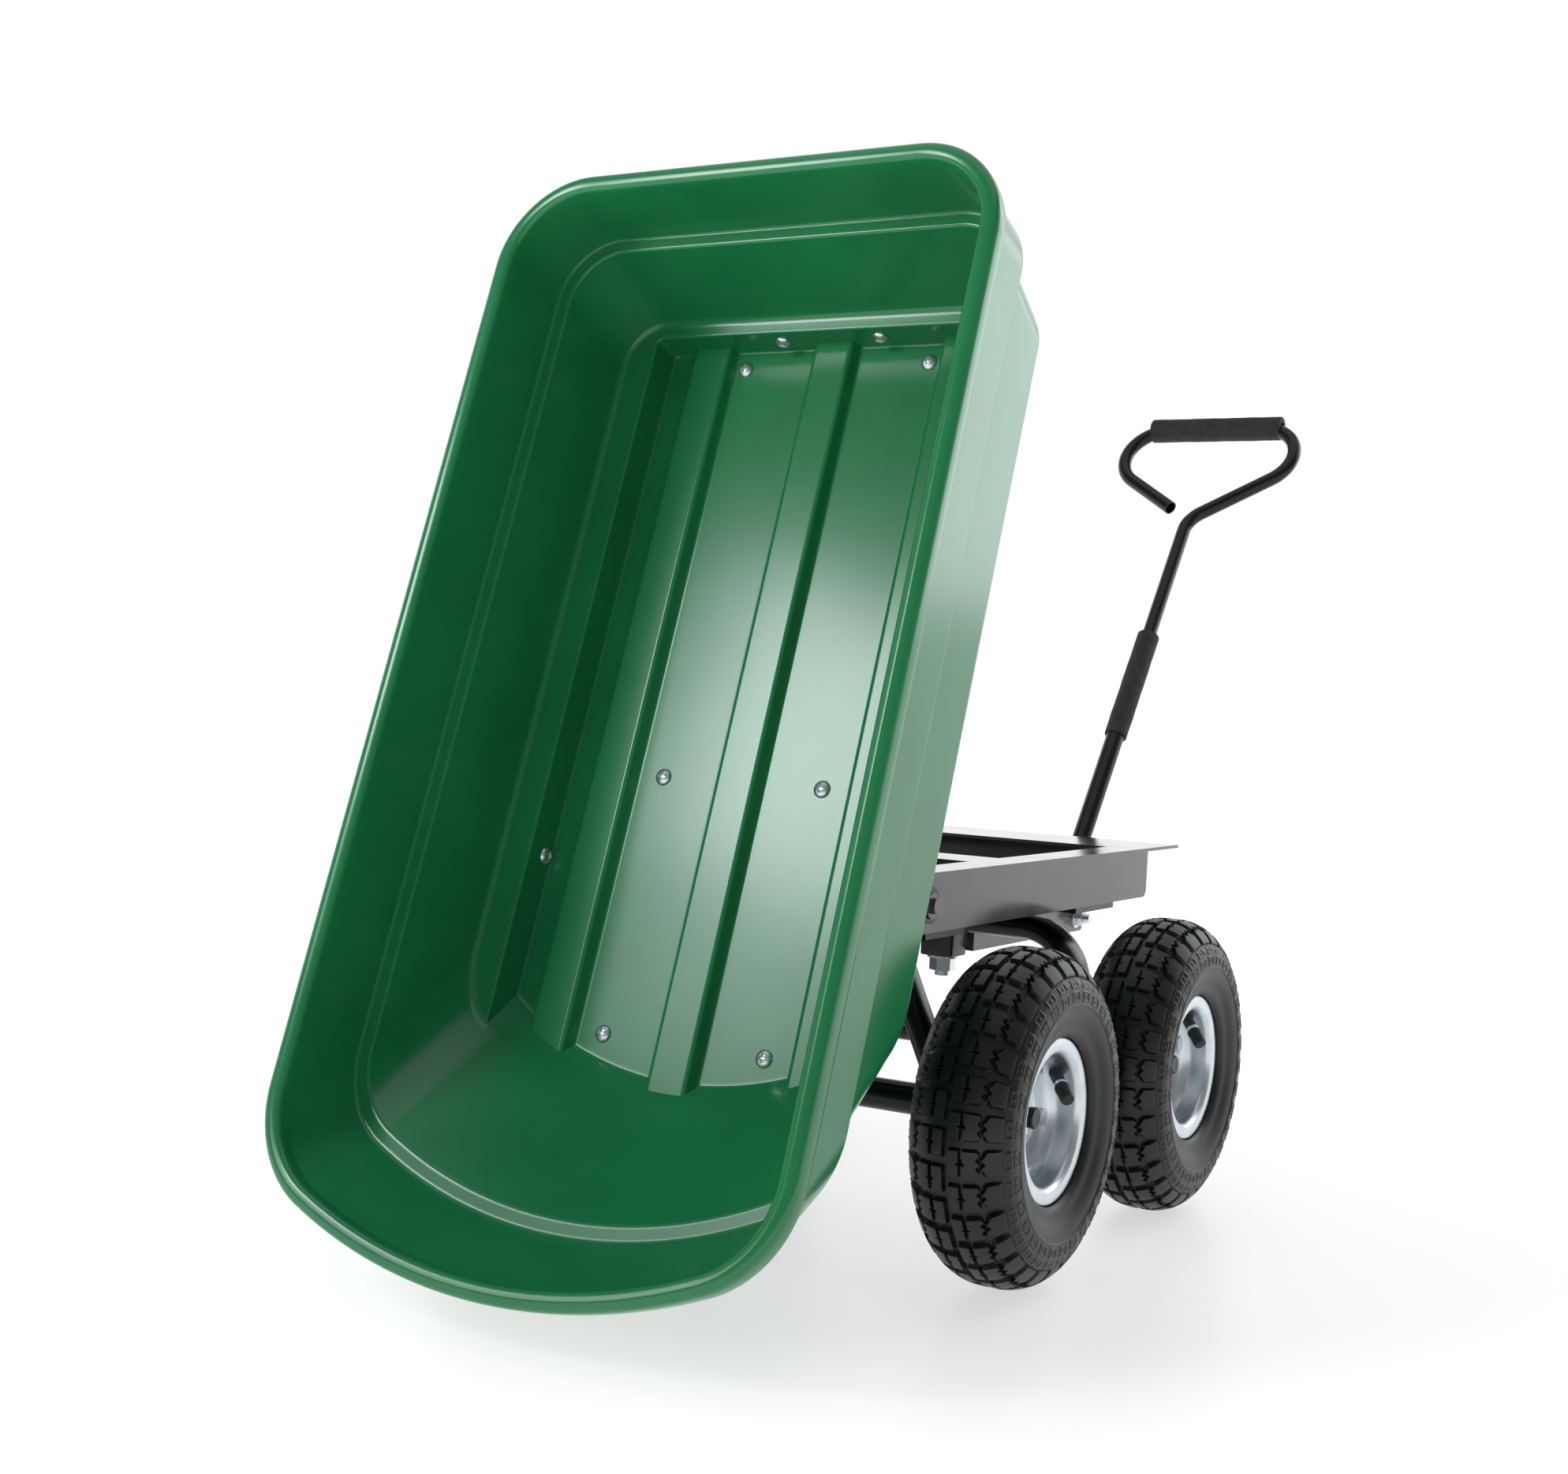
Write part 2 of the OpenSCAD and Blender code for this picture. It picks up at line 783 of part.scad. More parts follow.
module front_crossmember() {
    color(frame_grey) {
        translate([0, 0, frame_top - frame_gauge])
            linear_extrude(frame_gauge)
                polygon([
                    [hook_edge_x, -half_opening], [rail_front, -half_opening], [rail_front, -half_frame],
                    [rail_front + front_lip, -half_frame], [rail_front + front_lip, half_frame],
                    [rail_front, half_frame], [rail_front, half_opening], [hook_edge_x, half_opening]
                ]);
        translate([rail_front - rail_corner_r - frame_gauge, -half_frame + frame_gauge, rail_foot])
            cube([frame_gauge, frame_width - 2 * frame_gauge, rail_height - frame_gauge]);
    }
}

module middle_crossmember() {
    length = 60;
    inner = half_frame - frame_gauge;
    color(frame_grey) {
        translate([middle_member_x, -half_opening, frame_top - frame_gauge])
            cube([length, 2 * half_opening, frame_gauge]);
        for (x = [middle_member_x, middle_member_x + length - frame_gauge])
            translate([x, -inner, rail_foot])
                cube([frame_gauge, 2 * inner, rail_height - frame_gauge]);
    }
}

module axle_plate(x, half_length) {
    translate([x - half_length, -half_frame, plate_foot])
        cube([2 * half_length, frame_width, axle_plate_gauge]);
}

module kingpin_plate() {
    color(gloss_black)
        difference() {
            axle_plate(wheelbase, 45);
            translate([wheelbase, 0, plate_foot - 1])
                cylinder(d = kingpin_d + 2 * fit, h = axle_plate_gauge + 2);
        }
}

module rear_axle_plate() {
    color(gloss_black)
        axle_plate(0, 35);
}

module rear_leg(side) {
    slope = atan2(plate_foot - wheel_r, rear_leg_foot_y - rear_leg_top_y);
    half = rear_leg_width / 2 / sin(slope);
    color(gloss_black)
        on_side(side)
            difference() {
                along_x(-rear_leg_depth / 2, rear_leg_depth / 2)
                    polygon([
                        [rear_leg_top_y - half, plate_foot], [rear_leg_top_y + half, plate_foot],
                        [rear_leg_foot_y + half, wheel_r], [rear_leg_foot_y - half, wheel_r]
                    ]);
                translate([0, 0, wheel_r])
                    rod_y(axle_tube_d + fit, 0, track);
            }
}

module axle_tube(x) {
    color(gloss_black)
        translate([x, 0, wheel_r])
            difference() {
                rod_y(axle_tube_d, -tube_end, tube_end);
                rod_y(axle_d + 2 * fit, -track, track);
            }
}

module axle_shaft(x) {
    color(gloss_black)
        translate([x, 0, wheel_r])
            difference() {
                rod_y(axle_d, -shaft_end, shaft_end);
                for (side = [-1, 1])
                    translate([0, side * (track / 2 + pin_at), -axle_d])
                        cylinder(d = pin_d + 2 * fit, h = 2 * axle_d);
            }
}

module axle_washers(x) {
    color(zinc)
        translate([x, 0, wheel_r])
            both_sides()
                for (y = [tube_end + face_gap, track / 2 + hub_outer + face_gap])
                    translate([0, y, 0])
                        rotate([-90, 0, 0])
                            washer(washer_d, axle_d, washer_gauge);
}

module split_pins(x) {
    eye_r = 3.5;
    length = axle_d + 10;
    color(zinc)
        translate([x, 0, wheel_r])
            both_sides()
                translate([0, track / 2 + pin_at, 0]) {
                    translate([0, 0, -length / 2])
                        cylinder(d = pin_d, h = length);
                    translate([0, 0, length / 2 + eye_r - 1])
                        rotate([90, 0, 0])
                            rotate_extrude()
                                translate([eye_r, 0])
                                    circle(d = pin_d - 0.6);
                }
}

module hinge_rod() {
    color(frame_grey)
        translate([hinge_x, 0, hinge_z])
            rod_y(hinge_rod_d, -rod_end, rod_end);
}

module hinge_spacers() {
    color(frame_grey)
        translate([hinge_x, 0, hinge_z])
            both_sides()
                translate([0, half_frame, 0])
                    rotate([-90, 0, 0])
                        washer(clip_d, hinge_rod_d, bracket_y - half_frame - face_gap);
}

module hinge_rod_clips() {
    color(frame_grey)
        translate([hinge_x, 0, hinge_z])
            both_sides()
                translate([0, bracket_y + bracket_gauge + face_gap, 0])
                    rotate([-90, 0, 0])
                        washer(clip_d, hinge_rod_d, clip_gauge);
}

module kingpin_bolt() {
    color(zinc)
        translate([wheelbase, 0, 0]) {
            translate([0, 0, rail_foot])
                cylinder(d = kingpin_head_d, h = kingpin_head_h, $fn = 6);
            translate([0, 0, kingpin_end])
                cylinder(d = kingpin_d, h = rail_foot - kingpin_end);
        }
}

module kingpin_nut() {
    washer_foot = pin_block_foot - face_gap - kingpin_washer_h;
    color(zinc)
        translate([wheelbase, 0, 0]) {
            translate([0, 0, washer_foot])
                washer(kingpin_washer_d, kingpin_d, kingpin_washer_h);
            translate([0, 0, washer_foot - kingpin_nut_h])
                hex_nut(kingpin_nut_d, kingpin_d, kingpin_nut_h);
        }
}

// The arch's band across the cart, drawn in by an inset on both edges
module arch_band(inset) {
    inner = arch_bend_r - arch_depth / 2 + inset;
    outer = arch_bend_r + arch_depth / 2 - inset;
    turn = 90 - arch_bend;
    function leg(r, z) =
        let (y = arch_crown + r * cos(turn), top = arch_bend_z + r * sin(turn))
        [y + (top - z) / tan(arch_bend), z];
    translate([-arch_crown, arch_bend_z + inner])
        square([2 * arch_crown, outer - inner]);
    for (side = [0, 1])
        mirror([side, 0]) {
            intersection() {
                translate([arch_crown, arch_bend_z])
                    difference() {
                        circle(r = outer);
                        circle(r = inner);
                    }
                polygon([
                    [arch_crown, arch_bend_z], [arch_crown, arch_bend_z + 2 * outer],
                    [arch_crown + 2 * outer, arch_bend_z + 2 * outer],
                    [arch_crown + 2 * outer * cos(turn), arch_bend_z + 2 * outer * sin(turn)]
                ]);
            }
            polygon([
                [arch_crown + inner * cos(turn), arch_bend_z + inner * sin(turn)],
                [arch_crown + outer * cos(turn), arch_bend_z + outer * sin(turn)],
                leg(outer, wheel_r), leg(inner, wheel_r)
            ]);
        }
}

module front_arch() {
    rear = wheelbase - arch_width / 2;
    front = wheelbase + arch_width / 2;
    color(gloss_black)
        difference() {
            union() {
                difference() {
                    along_x(rear, front)
                        arch_band(0);
                    along_x(rear - 1, front - arch_gauge)
                        arch_band(arch_gauge);
                }
                translate([wheelbase - pin_block / 2, -pin_block / 2, pin_block_foot])
                    cube([pin_block, pin_block, pin_block_h + arch_gauge]);
            }
            translate([wheelbase, 0, pin_block_foot - 1])
                cylinder(d = kingpin_d + 2 * running, h = arch_top - pin_block_foot + 2);
            translate([wheelbase, 0, wheel_r])
                rod_y(axle_tube_d + fit, -track, track);
        }
}

module turntable_disc() {
    color(nylon)
        translate([wheelbase, 0, arch_top])
            washer(turntable_d, kingpin_d + 2 * running - 2 * fit, turntable_h);
}

module drawbar() {
    half = drawbar_width / 2;
    color(frame_grey)
        difference() {
            union() {
                both_sides()
                    along_y(half - drawbar_gauge, half)
                        difference() {
                            translate([drawbar_rear, drawbar_foot])
                                square([drawbar_nose - drawbar_rear, drawbar_h]);
                            translate([drawbar_nose - drawbar_corner, drawbar_foot + drawbar_corner])
                                difference() {
                                    translate([0, -drawbar_corner - 1])
                                        square(drawbar_corner + 1);
                                    circle(r = drawbar_corner);
                                }
                        }
                translate([drawbar_rear, -half, drawbar_foot])
                    cube([drawbar_floor_end - drawbar_rear, drawbar_width, drawbar_gauge]);
            }
            translate([pivot_x, 0, pivot_z])
                rod_y(pivot_d + 2 * fit, -drawbar_width, drawbar_width);
        }
}

module handle_bolt() {
    half = drawbar_width / 2;
    washer_h = 2;
    head_h = 6.5;
    nut_y = half + washer_h;
    color(zinc)
        translate([pivot_x, 0, pivot_z]) {
            rod_y(pivot_d, -nut_y - pivot_nut_h - 7, nut_y);
            translate([0, nut_y, 0])
                rotate([-90, 0, 0])
                    cylinder(d = pivot_nut_d, h = head_h, $fn = 6);
            both_sides()
                translate([0, half, 0])
                    rotate([-90, 0, 0])
                        washer(pivot_washer_d, pivot_d, washer_h);
            translate([0, -nut_y, 0])
                rotate([90, 0, 0])
                    hex_nut(pivot_nut_d, pivot_d, pivot_nut_h);
        }
}

// The handle's plane: Y across the cart, Z along the shaft from the pivot
module in_handle_plane() {
    translate([pivot_x, 0, pivot_z])
        rotate([0, handle_lean, 0])
            children();
}

module handle_shaft() {
    color(gloss_black)
        in_handle_plane()
            difference() {
                union() {
                    cylinder(d = shaft_d, h = shaft_length);
                    rod_y(eye_d, -eye_half, eye_half);
                }
                rod_y(pivot_d + 2 * running, -drawbar_width, drawbar_width);
                translate([0, 0, eye_d / 2])
                    cylinder(d = loop_d + 2 * fit, h = shaft_length);
            }
}

// Cross-section of the loop's bar, hollow where a bore is given
module bar_section(d, bore) {
    difference() {
        circle(d = d);
        if (bore > 0)
            circle(d = bore);
    }
}

// A straight stretch of the bar between two points of the handle's plane
module straight(d, bore, from, to) {
    run = to - from;
    translate([0, from[0], from[1]])
        rotate([-atan2(run[0], run[1]), 0, 0])
            linear_extrude(norm(run))
                bar_section(d, bore);
}

// A bend in the handle's plane about a centre: the part of a ring within a wedge
module bend(d, bore, centre, r, from, turn) {
    wedge_steps = 3;
    wedge = [for (i = [0:wedge_steps])
        let (a = from + turn * i / wedge_steps)
        2 * r * [cos(a), sin(a)]];
    translate([0, centre[0], centre[1]])
        rotate([90, 0, 90])
            intersection() {
                rotate_extrude()
                    translate([r, 0])
                        bar_section(d, bore);
                translate([0, 0, -d])
                    linear_extrude(2 * d)
                        polygon(concat([[0, 0]], wedge));
            }
}

module loop_bar(d, bore) {
    leg = [cos(leg_slope), sin(leg_slope)];
    fork = [-fork_r, fork_s - fork_tangent];
    loose_end = [loose_end_y, fork_s + loose_end_y * leg_rise];
    straight(d, bore, [0, shaft_length - loop_insert], [0, fork_s - fork_tangent]);
    bend(d, bore, fork, fork_r, 0, 90 - leg_slope);
    straight(
        d, bore,
        [-fork_tangent * leg[0], fork_s + fork_tangent * leg[1]],
        [-leg_end[0], leg_end[1]]
    );
    bend(d, bore, [-corner_y, corner_s], corner_r, 90, 180 - leg_slope);
    straight(d, bore, [-corner_y, grip_reach], [corner_y, grip_reach]);
    bend(d, bore, [corner_y, corner_s], corner_r, leg_slope - 90, 180 - leg_slope);
    straight(d, bore, loose_end, leg_end);
}

module handle_loop() {
    color(gloss_black)
        in_handle_plane()
            loop_bar(loop_d, loop_d - 2 * handle_wall);
}

// The bar under the grip: its straight stretch and the starts of the corners
module grip_bar(d) {
    bend(d, 0, [-corner_y, corner_s], corner_r, 90, 180 - leg_slope);
    straight(d, 0, [-corner_y, grip_reach], [corner_y, grip_reach]);
    bend(d, 0, [corner_y, corner_s], corner_r, leg_slope - 90, 180 - leg_slope);
}

module handle_grip() {
    color(foam_black)
        in_handle_plane()
            difference() {
                translate([0, 0, grip_reach])
                    rod_y(grip_d, -grip_length / 2, grip_length / 2);
                grip_bar(loop_d + 2 * fit);
            }
}

module handle_sleeve() {
    color(foam_black)
        in_handle_plane()
            difference() {
                translate([0, 0, sleeve_start])
                    cylinder(d = sleeve_d, h = sleeve_length);
                cylinder(d = shaft_d + 2 * fit, h = shaft_length + fit);
                cylinder(d = loop_d + 2 * fit, h = 2 * shaft_length);
            }
}

// Outline of a tyre's cross-section: two shoulders and the crown between them
module tyre_section(r) {
    for (side = [-1, 1])
        translate([section_r, side * crown_half])
            circle(r = r);
    translate([section_r - r, -crown_half])
        square([2 * r, 2 * crown_half]);
}

// Grooves between the lugs: their bottoms follow the casing, and the two sides are half a lug apart
module tread_grooves() {
    intersection() {
        rotate_extrude($fn = 128)
            difference() {
                tyre_section(shoulder_r + 1);
                tyre_section(shoulder_r - tread_depth);
                translate([0, -tyre_width])
                    square([section_r + lug_foot, 2 * tyre_width]);
            }
        for (side = [0, 1], i = [0:lug_count - 1])
            rotate([0, 0, (i + side / 2) * 360 / lug_count])
                mirror([0, 0, side])
                    translate([section_r, -groove_half, groove_start])
                        cube([2 * shoulder_r, 2 * groove_half, tyre_width]);
    }
}

module tyre() {
    color(tyre_black)
        difference() {
            rotate_extrude($fn = 128)
                difference() {
                    union() {
                        tyre_section(shoulder_r);
                        translate([barrel_r + fit, -bead_half])
                            square([section_r - barrel_r - fit, 2 * bead_half]);
                    }
                    tyre_section(shoulder_r - tyre_casing);
                    translate([0, -throat])
                        square([section_r, 2 * throat]);
                    translate([0, -tyre_width])
                        square([barrel_r + fit, 2 * tyre_width]);
                    for (side = [-1, 1])
                        mirror([0, side < 0 ? 1 : 0])
                            translate([0, bead_half])
                                square([rim_r + 0.6, tyre_width]);
                }
            tread_grooves();
        }
}

// One pressed half of a split rim: a disc, a barrel and a flange
module rim_half_shell(bolt_angle) {
    edge_r = (rim_gauge - face_gap) / 2;
    color(zinc)
        difference() {
            rotate_extrude($fn = 128) {
                translate([hub_d / 2 + fit, 0])
                    square([barrel_r - hub_d / 2 - fit, rim_gauge]);
                translate([barrel_r - rim_gauge, 0])
                    square([rim_gauge, rim_half]);
                translate([barrel_r - rim_gauge, rim_half - rim_gauge + face_gap])
                    square([rim_r - barrel_r + rim_gauge - edge_r, rim_gauge - face_gap]);
                translate([rim_r - edge_r, rim_half - edge_r])
                    circle(r = edge_r);
            }
            for (i = [0:rim_bolt_count - 1])
                rotate([0, 0, bolt_angle + i * 360 / rim_bolt_count])
                    translate([rim_bolt_circle, 0, -1])
                        cylinder(d = bolt_hole_d, h = rim_gauge + 2);
        }
}

// The valve stem's line: through the barrel, leaning outwards on its way to the hub
module on_valve_line(valve_angle) {
    rotate([0, 0, valve_angle])
        translate([barrel_r, 0, valve_s])
            rotate([0, valve_lean - 90, 0])
                children();
}

module rim_outer(turns) {
    difference() {
        rim_half_shell(turns[1]);
        on_valve_line(turns[0])
            translate([0, 0, -valve_d])
                cylinder(d = valve_d + 2 * fit, h = 2 * valve_d);
    }
}

module rim_inner(turns) {
    mirror([0, 0, 1])
        rim_half_shell(turns[1]);
}

// The hub's tube with its bearing bore, and the bolts and nuts that clamp the rim halves
module hub(turns) {
    head_h = 5;
    color(zinc) {
        translate([0, 0, -hub_inner])
            difference() {
                cylinder(d = hub_d, h = hub_inner + hub_outer);
                translate([0, 0, -1])
                    cylinder(d = axle_d + 2 * running, h = hub_inner + hub_outer + 2);
            }
        for (i = [0:rim_bolt_count - 1])
            rotate([0, 0, turns[1] + i * 360 / rim_bolt_count])
                translate([rim_bolt_circle, 0, 0]) {
                    translate([0, 0, rim_gauge])
                        cylinder(d = nut_d, h = head_h, $fn = 6);
                    translate([0, 0, -rim_gauge - nut_h - bolt_tail])
                        cylinder(d = bolt_d, h = 2 * rim_gauge + nut_h + bolt_tail);
                    translate([0, 0, -rim_gauge - nut_h])
                        hex_nut(nut_d, bolt_d, nut_h);
                }
    }
}

// The air tube inside the tyre, with its valve stem through the rim
module inner_tube(turns) {
    r = shoulder_r - tyre_casing - tube_gap;
    root_d = valve_d - 1;
    color(tyre_black)
        difference() {
            union() {
                rotate_extrude($fn = 128)
                    tyre_section(r);
                on_valve_line(turns[0])
                    translate([0, 0, -tube_wall])
                        cylinder(d = valve_d, h = tube_wall + (barrel_r - valve_tip_r) / cos(valve_lean));
                rotate([0, 0, turns[0]])
                    translate([barrel_r + fit, 0, valve_s])
                        rotate([0, 90, 0])
                            cylinder(d = root_d, h = section_r - barrel_r - fit);
            }
            rotate_extrude($fn = 128)
                tyre_section(r - tube_wall);
        }
}

module wheel_at(x, side) {
    translate([x, 0, wheel_r])
        on_side(side)
            translate([0, track / 2, 0])
                rotate([-90, 0, 0])
                    mirror([0, 1, 0])
                        children();
}

module placed() {
    translate([-origin_x, 0, 0])
        children();
}

placed() side_rail(1);  // side_rail_left
placed() side_rail(-1);  // side_rail_right
placed() front_crossmember();
placed() middle_crossmember();
placed() kingpin_plate();
placed() rear_axle_plate();
placed() rear_leg(1);  // rear_leg_left
placed() rear_leg(-1);  // rear_leg_right
placed() axle_tube(0);  // rear_axle_tube
placed() axle_shaft(0);  // rear_axle_shaft
placed() axle_washers(0);  // rear_axle_washers
placed() split_pins(0);  // rear_split_pins
placed() hinge_rod();
placed() hinge_spacers();
placed() hinge_rod_clips();
placed() kingpin_bolt();
placed() kingpin_nut();
placed() tub();
placed() hinge_bracket(1);  // hinge_bracket_left
placed() hinge_bracket(-1);  // hinge_bracket_right
placed() tub_runners();
placed() tub_bolts();
placed() tub_nuts();
placed() latch_bracket();
placed() latch_pin();
placed() latch_hook();
placed() front_arch();
placed() turntable_disc();
placed() axle_tube(wheelbase);  // front_axle_tube
placed() axle_shaft(wheelbase);  // front_axle_shaft
placed() axle_washers(wheelbase);  // front_axle_washers
placed() split_pins(wheelbase);  // front_split_pins
placed() drawbar();
placed() handle_bolt();
placed() handle_shaft();
placed() handle_loop();
placed() handle_grip();
placed() handle_sleeve();
placed() wheel_at(0, 1) tyre();  // rear_left_tyre
placed() wheel_at(0, 1) rim_outer(rear_turns);  // rear_left_rim_outer
placed() wheel_at(0, 1) rim_inner(rear_turns);  // rear_left_rim_inner
placed() wheel_at(0, 1) hub(rear_turns);  // rear_left_hub
placed() wheel_at(0, 1) inner_tube(rear_turns);  // rear_left_tube
placed() wheel_at(0, -1) tyre();  // rear_right_tyre
placed() wheel_at(0, -1) rim_outer(rear_turns);  // rear_right_rim_outer
placed() wheel_at(0, -1) rim_inner(rear_turns);  // rear_right_rim_inner
placed() wheel_at(0, -1) hub(rear_turns);  // rear_right_hub
placed() wheel_at(0, -1) inner_tube(rear_turns);  // rear_right_tube
placed() wheel_at(wheelbase, 1) tyre();  // front_left_tyre
placed() wheel_at(wheelbase, 1) rim_outer(front_turns);  // front_left_rim_outer
placed() wheel_at(wheelbase, 1) rim_inner(front_turns);  // front_left_rim_inner
placed() wheel_at(wheelbase, 1) hub(front_turns);  // front_left_hub
placed() wheel_at(wheelbase, 1) inner_tube(front_turns);  // front_left_tube
placed() wheel_at(wheelbase, -1) tyre();  // front_right_tyre
placed() wheel_at(wheelbase, -1) rim_outer(front_turns);  // front_right_rim_outer
placed() wheel_at(wheelbase, -1) rim_inner(front_turns);  // front_right_rim_inner
placed() wheel_at(wheelbase, -1) hub(front_turns);  // front_right_hub
placed() wheel_at(wheelbase, -1) inner_tube(front_turns);  // front_right_tube
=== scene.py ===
import json
import math

import bmesh
import bpy
import numpy as np
from mathutils import Matrix, Vector


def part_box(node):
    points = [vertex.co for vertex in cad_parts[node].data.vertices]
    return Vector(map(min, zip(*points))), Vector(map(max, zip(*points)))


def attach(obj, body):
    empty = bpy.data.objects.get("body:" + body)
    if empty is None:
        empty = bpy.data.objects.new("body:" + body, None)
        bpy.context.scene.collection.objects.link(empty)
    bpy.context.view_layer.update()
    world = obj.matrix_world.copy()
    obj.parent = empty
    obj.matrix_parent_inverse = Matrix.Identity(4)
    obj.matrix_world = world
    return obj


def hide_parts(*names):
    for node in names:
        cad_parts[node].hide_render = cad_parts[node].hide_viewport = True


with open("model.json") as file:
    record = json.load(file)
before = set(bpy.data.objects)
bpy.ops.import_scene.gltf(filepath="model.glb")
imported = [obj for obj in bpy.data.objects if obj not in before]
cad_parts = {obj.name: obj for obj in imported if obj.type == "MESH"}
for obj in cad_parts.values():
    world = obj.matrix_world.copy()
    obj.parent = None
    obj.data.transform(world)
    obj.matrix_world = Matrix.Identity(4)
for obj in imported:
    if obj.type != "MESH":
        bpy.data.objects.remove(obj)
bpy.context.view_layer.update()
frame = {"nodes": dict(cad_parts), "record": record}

MM = 0.001
WHEELS = ("rear_left", "rear_right", "front_left", "front_right")
JOINTS = {joint["name"]: joint for joint in frame["record"]["behaviour"]["joints"]}
HINGE = Vector(JOINTS["tub_tip"]["pos_m"])
TIP = math.radians(JOINTS["tub_tip"]["range_deg"][1])
REAR_AXLE = Vector(JOINTS["rear_right_spin"]["pos_m"])
HANDLE_PIVOT = Vector(JOINTS["handle_tilt"]["pos_m"])
HANDLE_LEAN = math.radians(37)


# Colours and shader nodes


def linear(hex_colour):
    """An sRGB hex colour as linear red, green, blue and alpha."""
    values = [int(hex_colour[i:i + 2], 16) / 255 for i in (1, 3, 5)]
    return [v / 12.92 if v <= 0.04045 else ((v + 0.055) / 1.055) ** 2.4 for v in values] + [1.0]


def add(tree, kind, inputs=None, **settings):
    """A shader node with its settings; an input is a value, or another node's output to link."""
    node = tree.nodes.new(kind)
    for name, value in settings.items():
        setattr(node, name, value)
    for name, value in (inputs or {}).items():
        if isinstance(value, bpy.types.NodeSocket):
            tree.links.new(value, node.inputs[name])
        else:
            node.inputs[name].default_value = value
    return node


def finish_named(name):
    """An empty material with its output and its object coordinates, which are metres."""
    material = bpy.data.materials.new(name)
    material.use_nodes = True
    tree = material.node_tree
    tree.nodes.clear()
    output = add(tree, "ShaderNodeOutputMaterial")
    place = add(tree, "ShaderNodeTexCoord").outputs["Object"]
    return material, tree, output, place


def per_metre(size_mm):
    """The scale of a pattern whose features are about this far apart."""
    return 1 / (size_mm * MM)


def moulded_polyethylene():
    # Rotation-moulded polyethylene: an even green, waxy satin, with a faint swirl in the colour, the mould's
    # fine grain, and long hair-line scuffs that catch the light
    material, tree, output, place = finish_named("moulded_polyethylene")
    swirl = add(tree, "ShaderNodeTexNoise", {"Vector": place, "Scale": per_metre(90), "Detail": 3.0})
    colour = add(tree, "ShaderNodeValToRGB", {"Fac": swirl.outputs["Fac"]})
    colour.color_ramp.elements[0].position = 0.3
    colour.color_ramp.elements[0].color = linear("#1a7546")
    colour.color_ramp.elements[1].position = 0.75
    colour.color_ramp.elements[1].color = linear("#20804d")
    stretched = add(
        tree, "ShaderNodeMapping", {"Vector": place, "Rotation": (0.3, 0.5, 0.2), "Scale": (0.04, 1.0, 1.0)}
    )
    scuffs = add(
        tree, "ShaderNodeTexNoise",
        {"Vector": stretched.outputs["Vector"], "Scale": per_metre(1.6), "Detail": 4.0, "Roughness": 0.7},
    )
    scuff_lines = add(
        tree, "ShaderNodeMapRange",
        {"Value": scuffs.outputs["Fac"], "From Min": 0.68, "From Max": 0.8, "To Min": 0.2, "To Max": 0.3},
    )
    grain = add(tree, "ShaderNodeTexNoise", {"Vector": place, "Scale": per_metre(2.2), "Detail": 2.0})
    waves = add(tree, "ShaderNodeTexNoise", {"Vector": place, "Scale": per_metre(60), "Detail": 1.0})
    grain_bump = add(
        tree, "ShaderNodeBump", {"Height": grain.outputs["Fac"], "Strength": 0.06, "Distance": 0.25 * MM}
    )
    wave_bump = add(
        tree, "ShaderNodeBump",
        {
            "Height": waves.outputs["Fac"], "Strength": 0.05, "Distance": 0.8 * MM,
            "Normal": grain_bump.outputs["Normal"],
        },
    )
    shader = add(
        tree, "ShaderNodeBsdfPrincipled",
        {
            "Base Color": colour.outputs["Color"], "Roughness": scuff_lines.outputs["Result"],
            "Normal": wave_bump.outputs["Normal"], "IOR": 1.51,
        },
    )
    tree.links.new(shader.outputs["BSDF"], output.inputs["Surface"])
    return material


def baked_enamel(name, dark, light, roughness, ior=1.5):
    # Baked enamel on sheet steel: faint orange peel a few millimetres across, and a colour and gloss that
    # drift a little. Smooth rubber and nylon are made the same way, only duller
    material, tree, output, place = finish_named(name)
    drift = add(tree, "ShaderNodeTexNoise", {"Vector": place, "Scale": per_metre(45), "Detail": 4.0})
    colour = add(tree, "ShaderNodeValToRGB", {"Fac": drift.outputs["Fac"]})
    colour.color_ramp.elements[0].position = 0.35
    colour.color_ramp.elements[0].color = linear(dark)
    colour.color_ramp.elements[1].position = 0.7
    colour.color_ramp.elements[1].color = linear(light)
    peel = add(tree, "ShaderNodeTexNoise", {"Vector": place, "Scale": per_metre(2.5), "Detail": 1.0})
    gloss = add(
        tree, "ShaderNodeMapRange",
        {"Value": drift.outputs["Fac"], "To Min": roughness - 0.05, "To Max": roughness + 0.07},
    )
    bump = add(
        tree, "ShaderNodeBump", {"Height": peel.outputs["Fac"], "Strength": 0.025, "Distance": 0.15 * MM}
    )
    shader = add(
        tree, "ShaderNodeBsdfPrincipled",
        {
            "Base Color": colour.outputs["Color"], "Roughness": gloss.outputs["Result"],
            "Normal": bump.outputs["Normal"], "IOR": ior,
        },
    )
    tree.links.new(shader.outputs["BSDF"], output.inputs["Surface"])
    return material


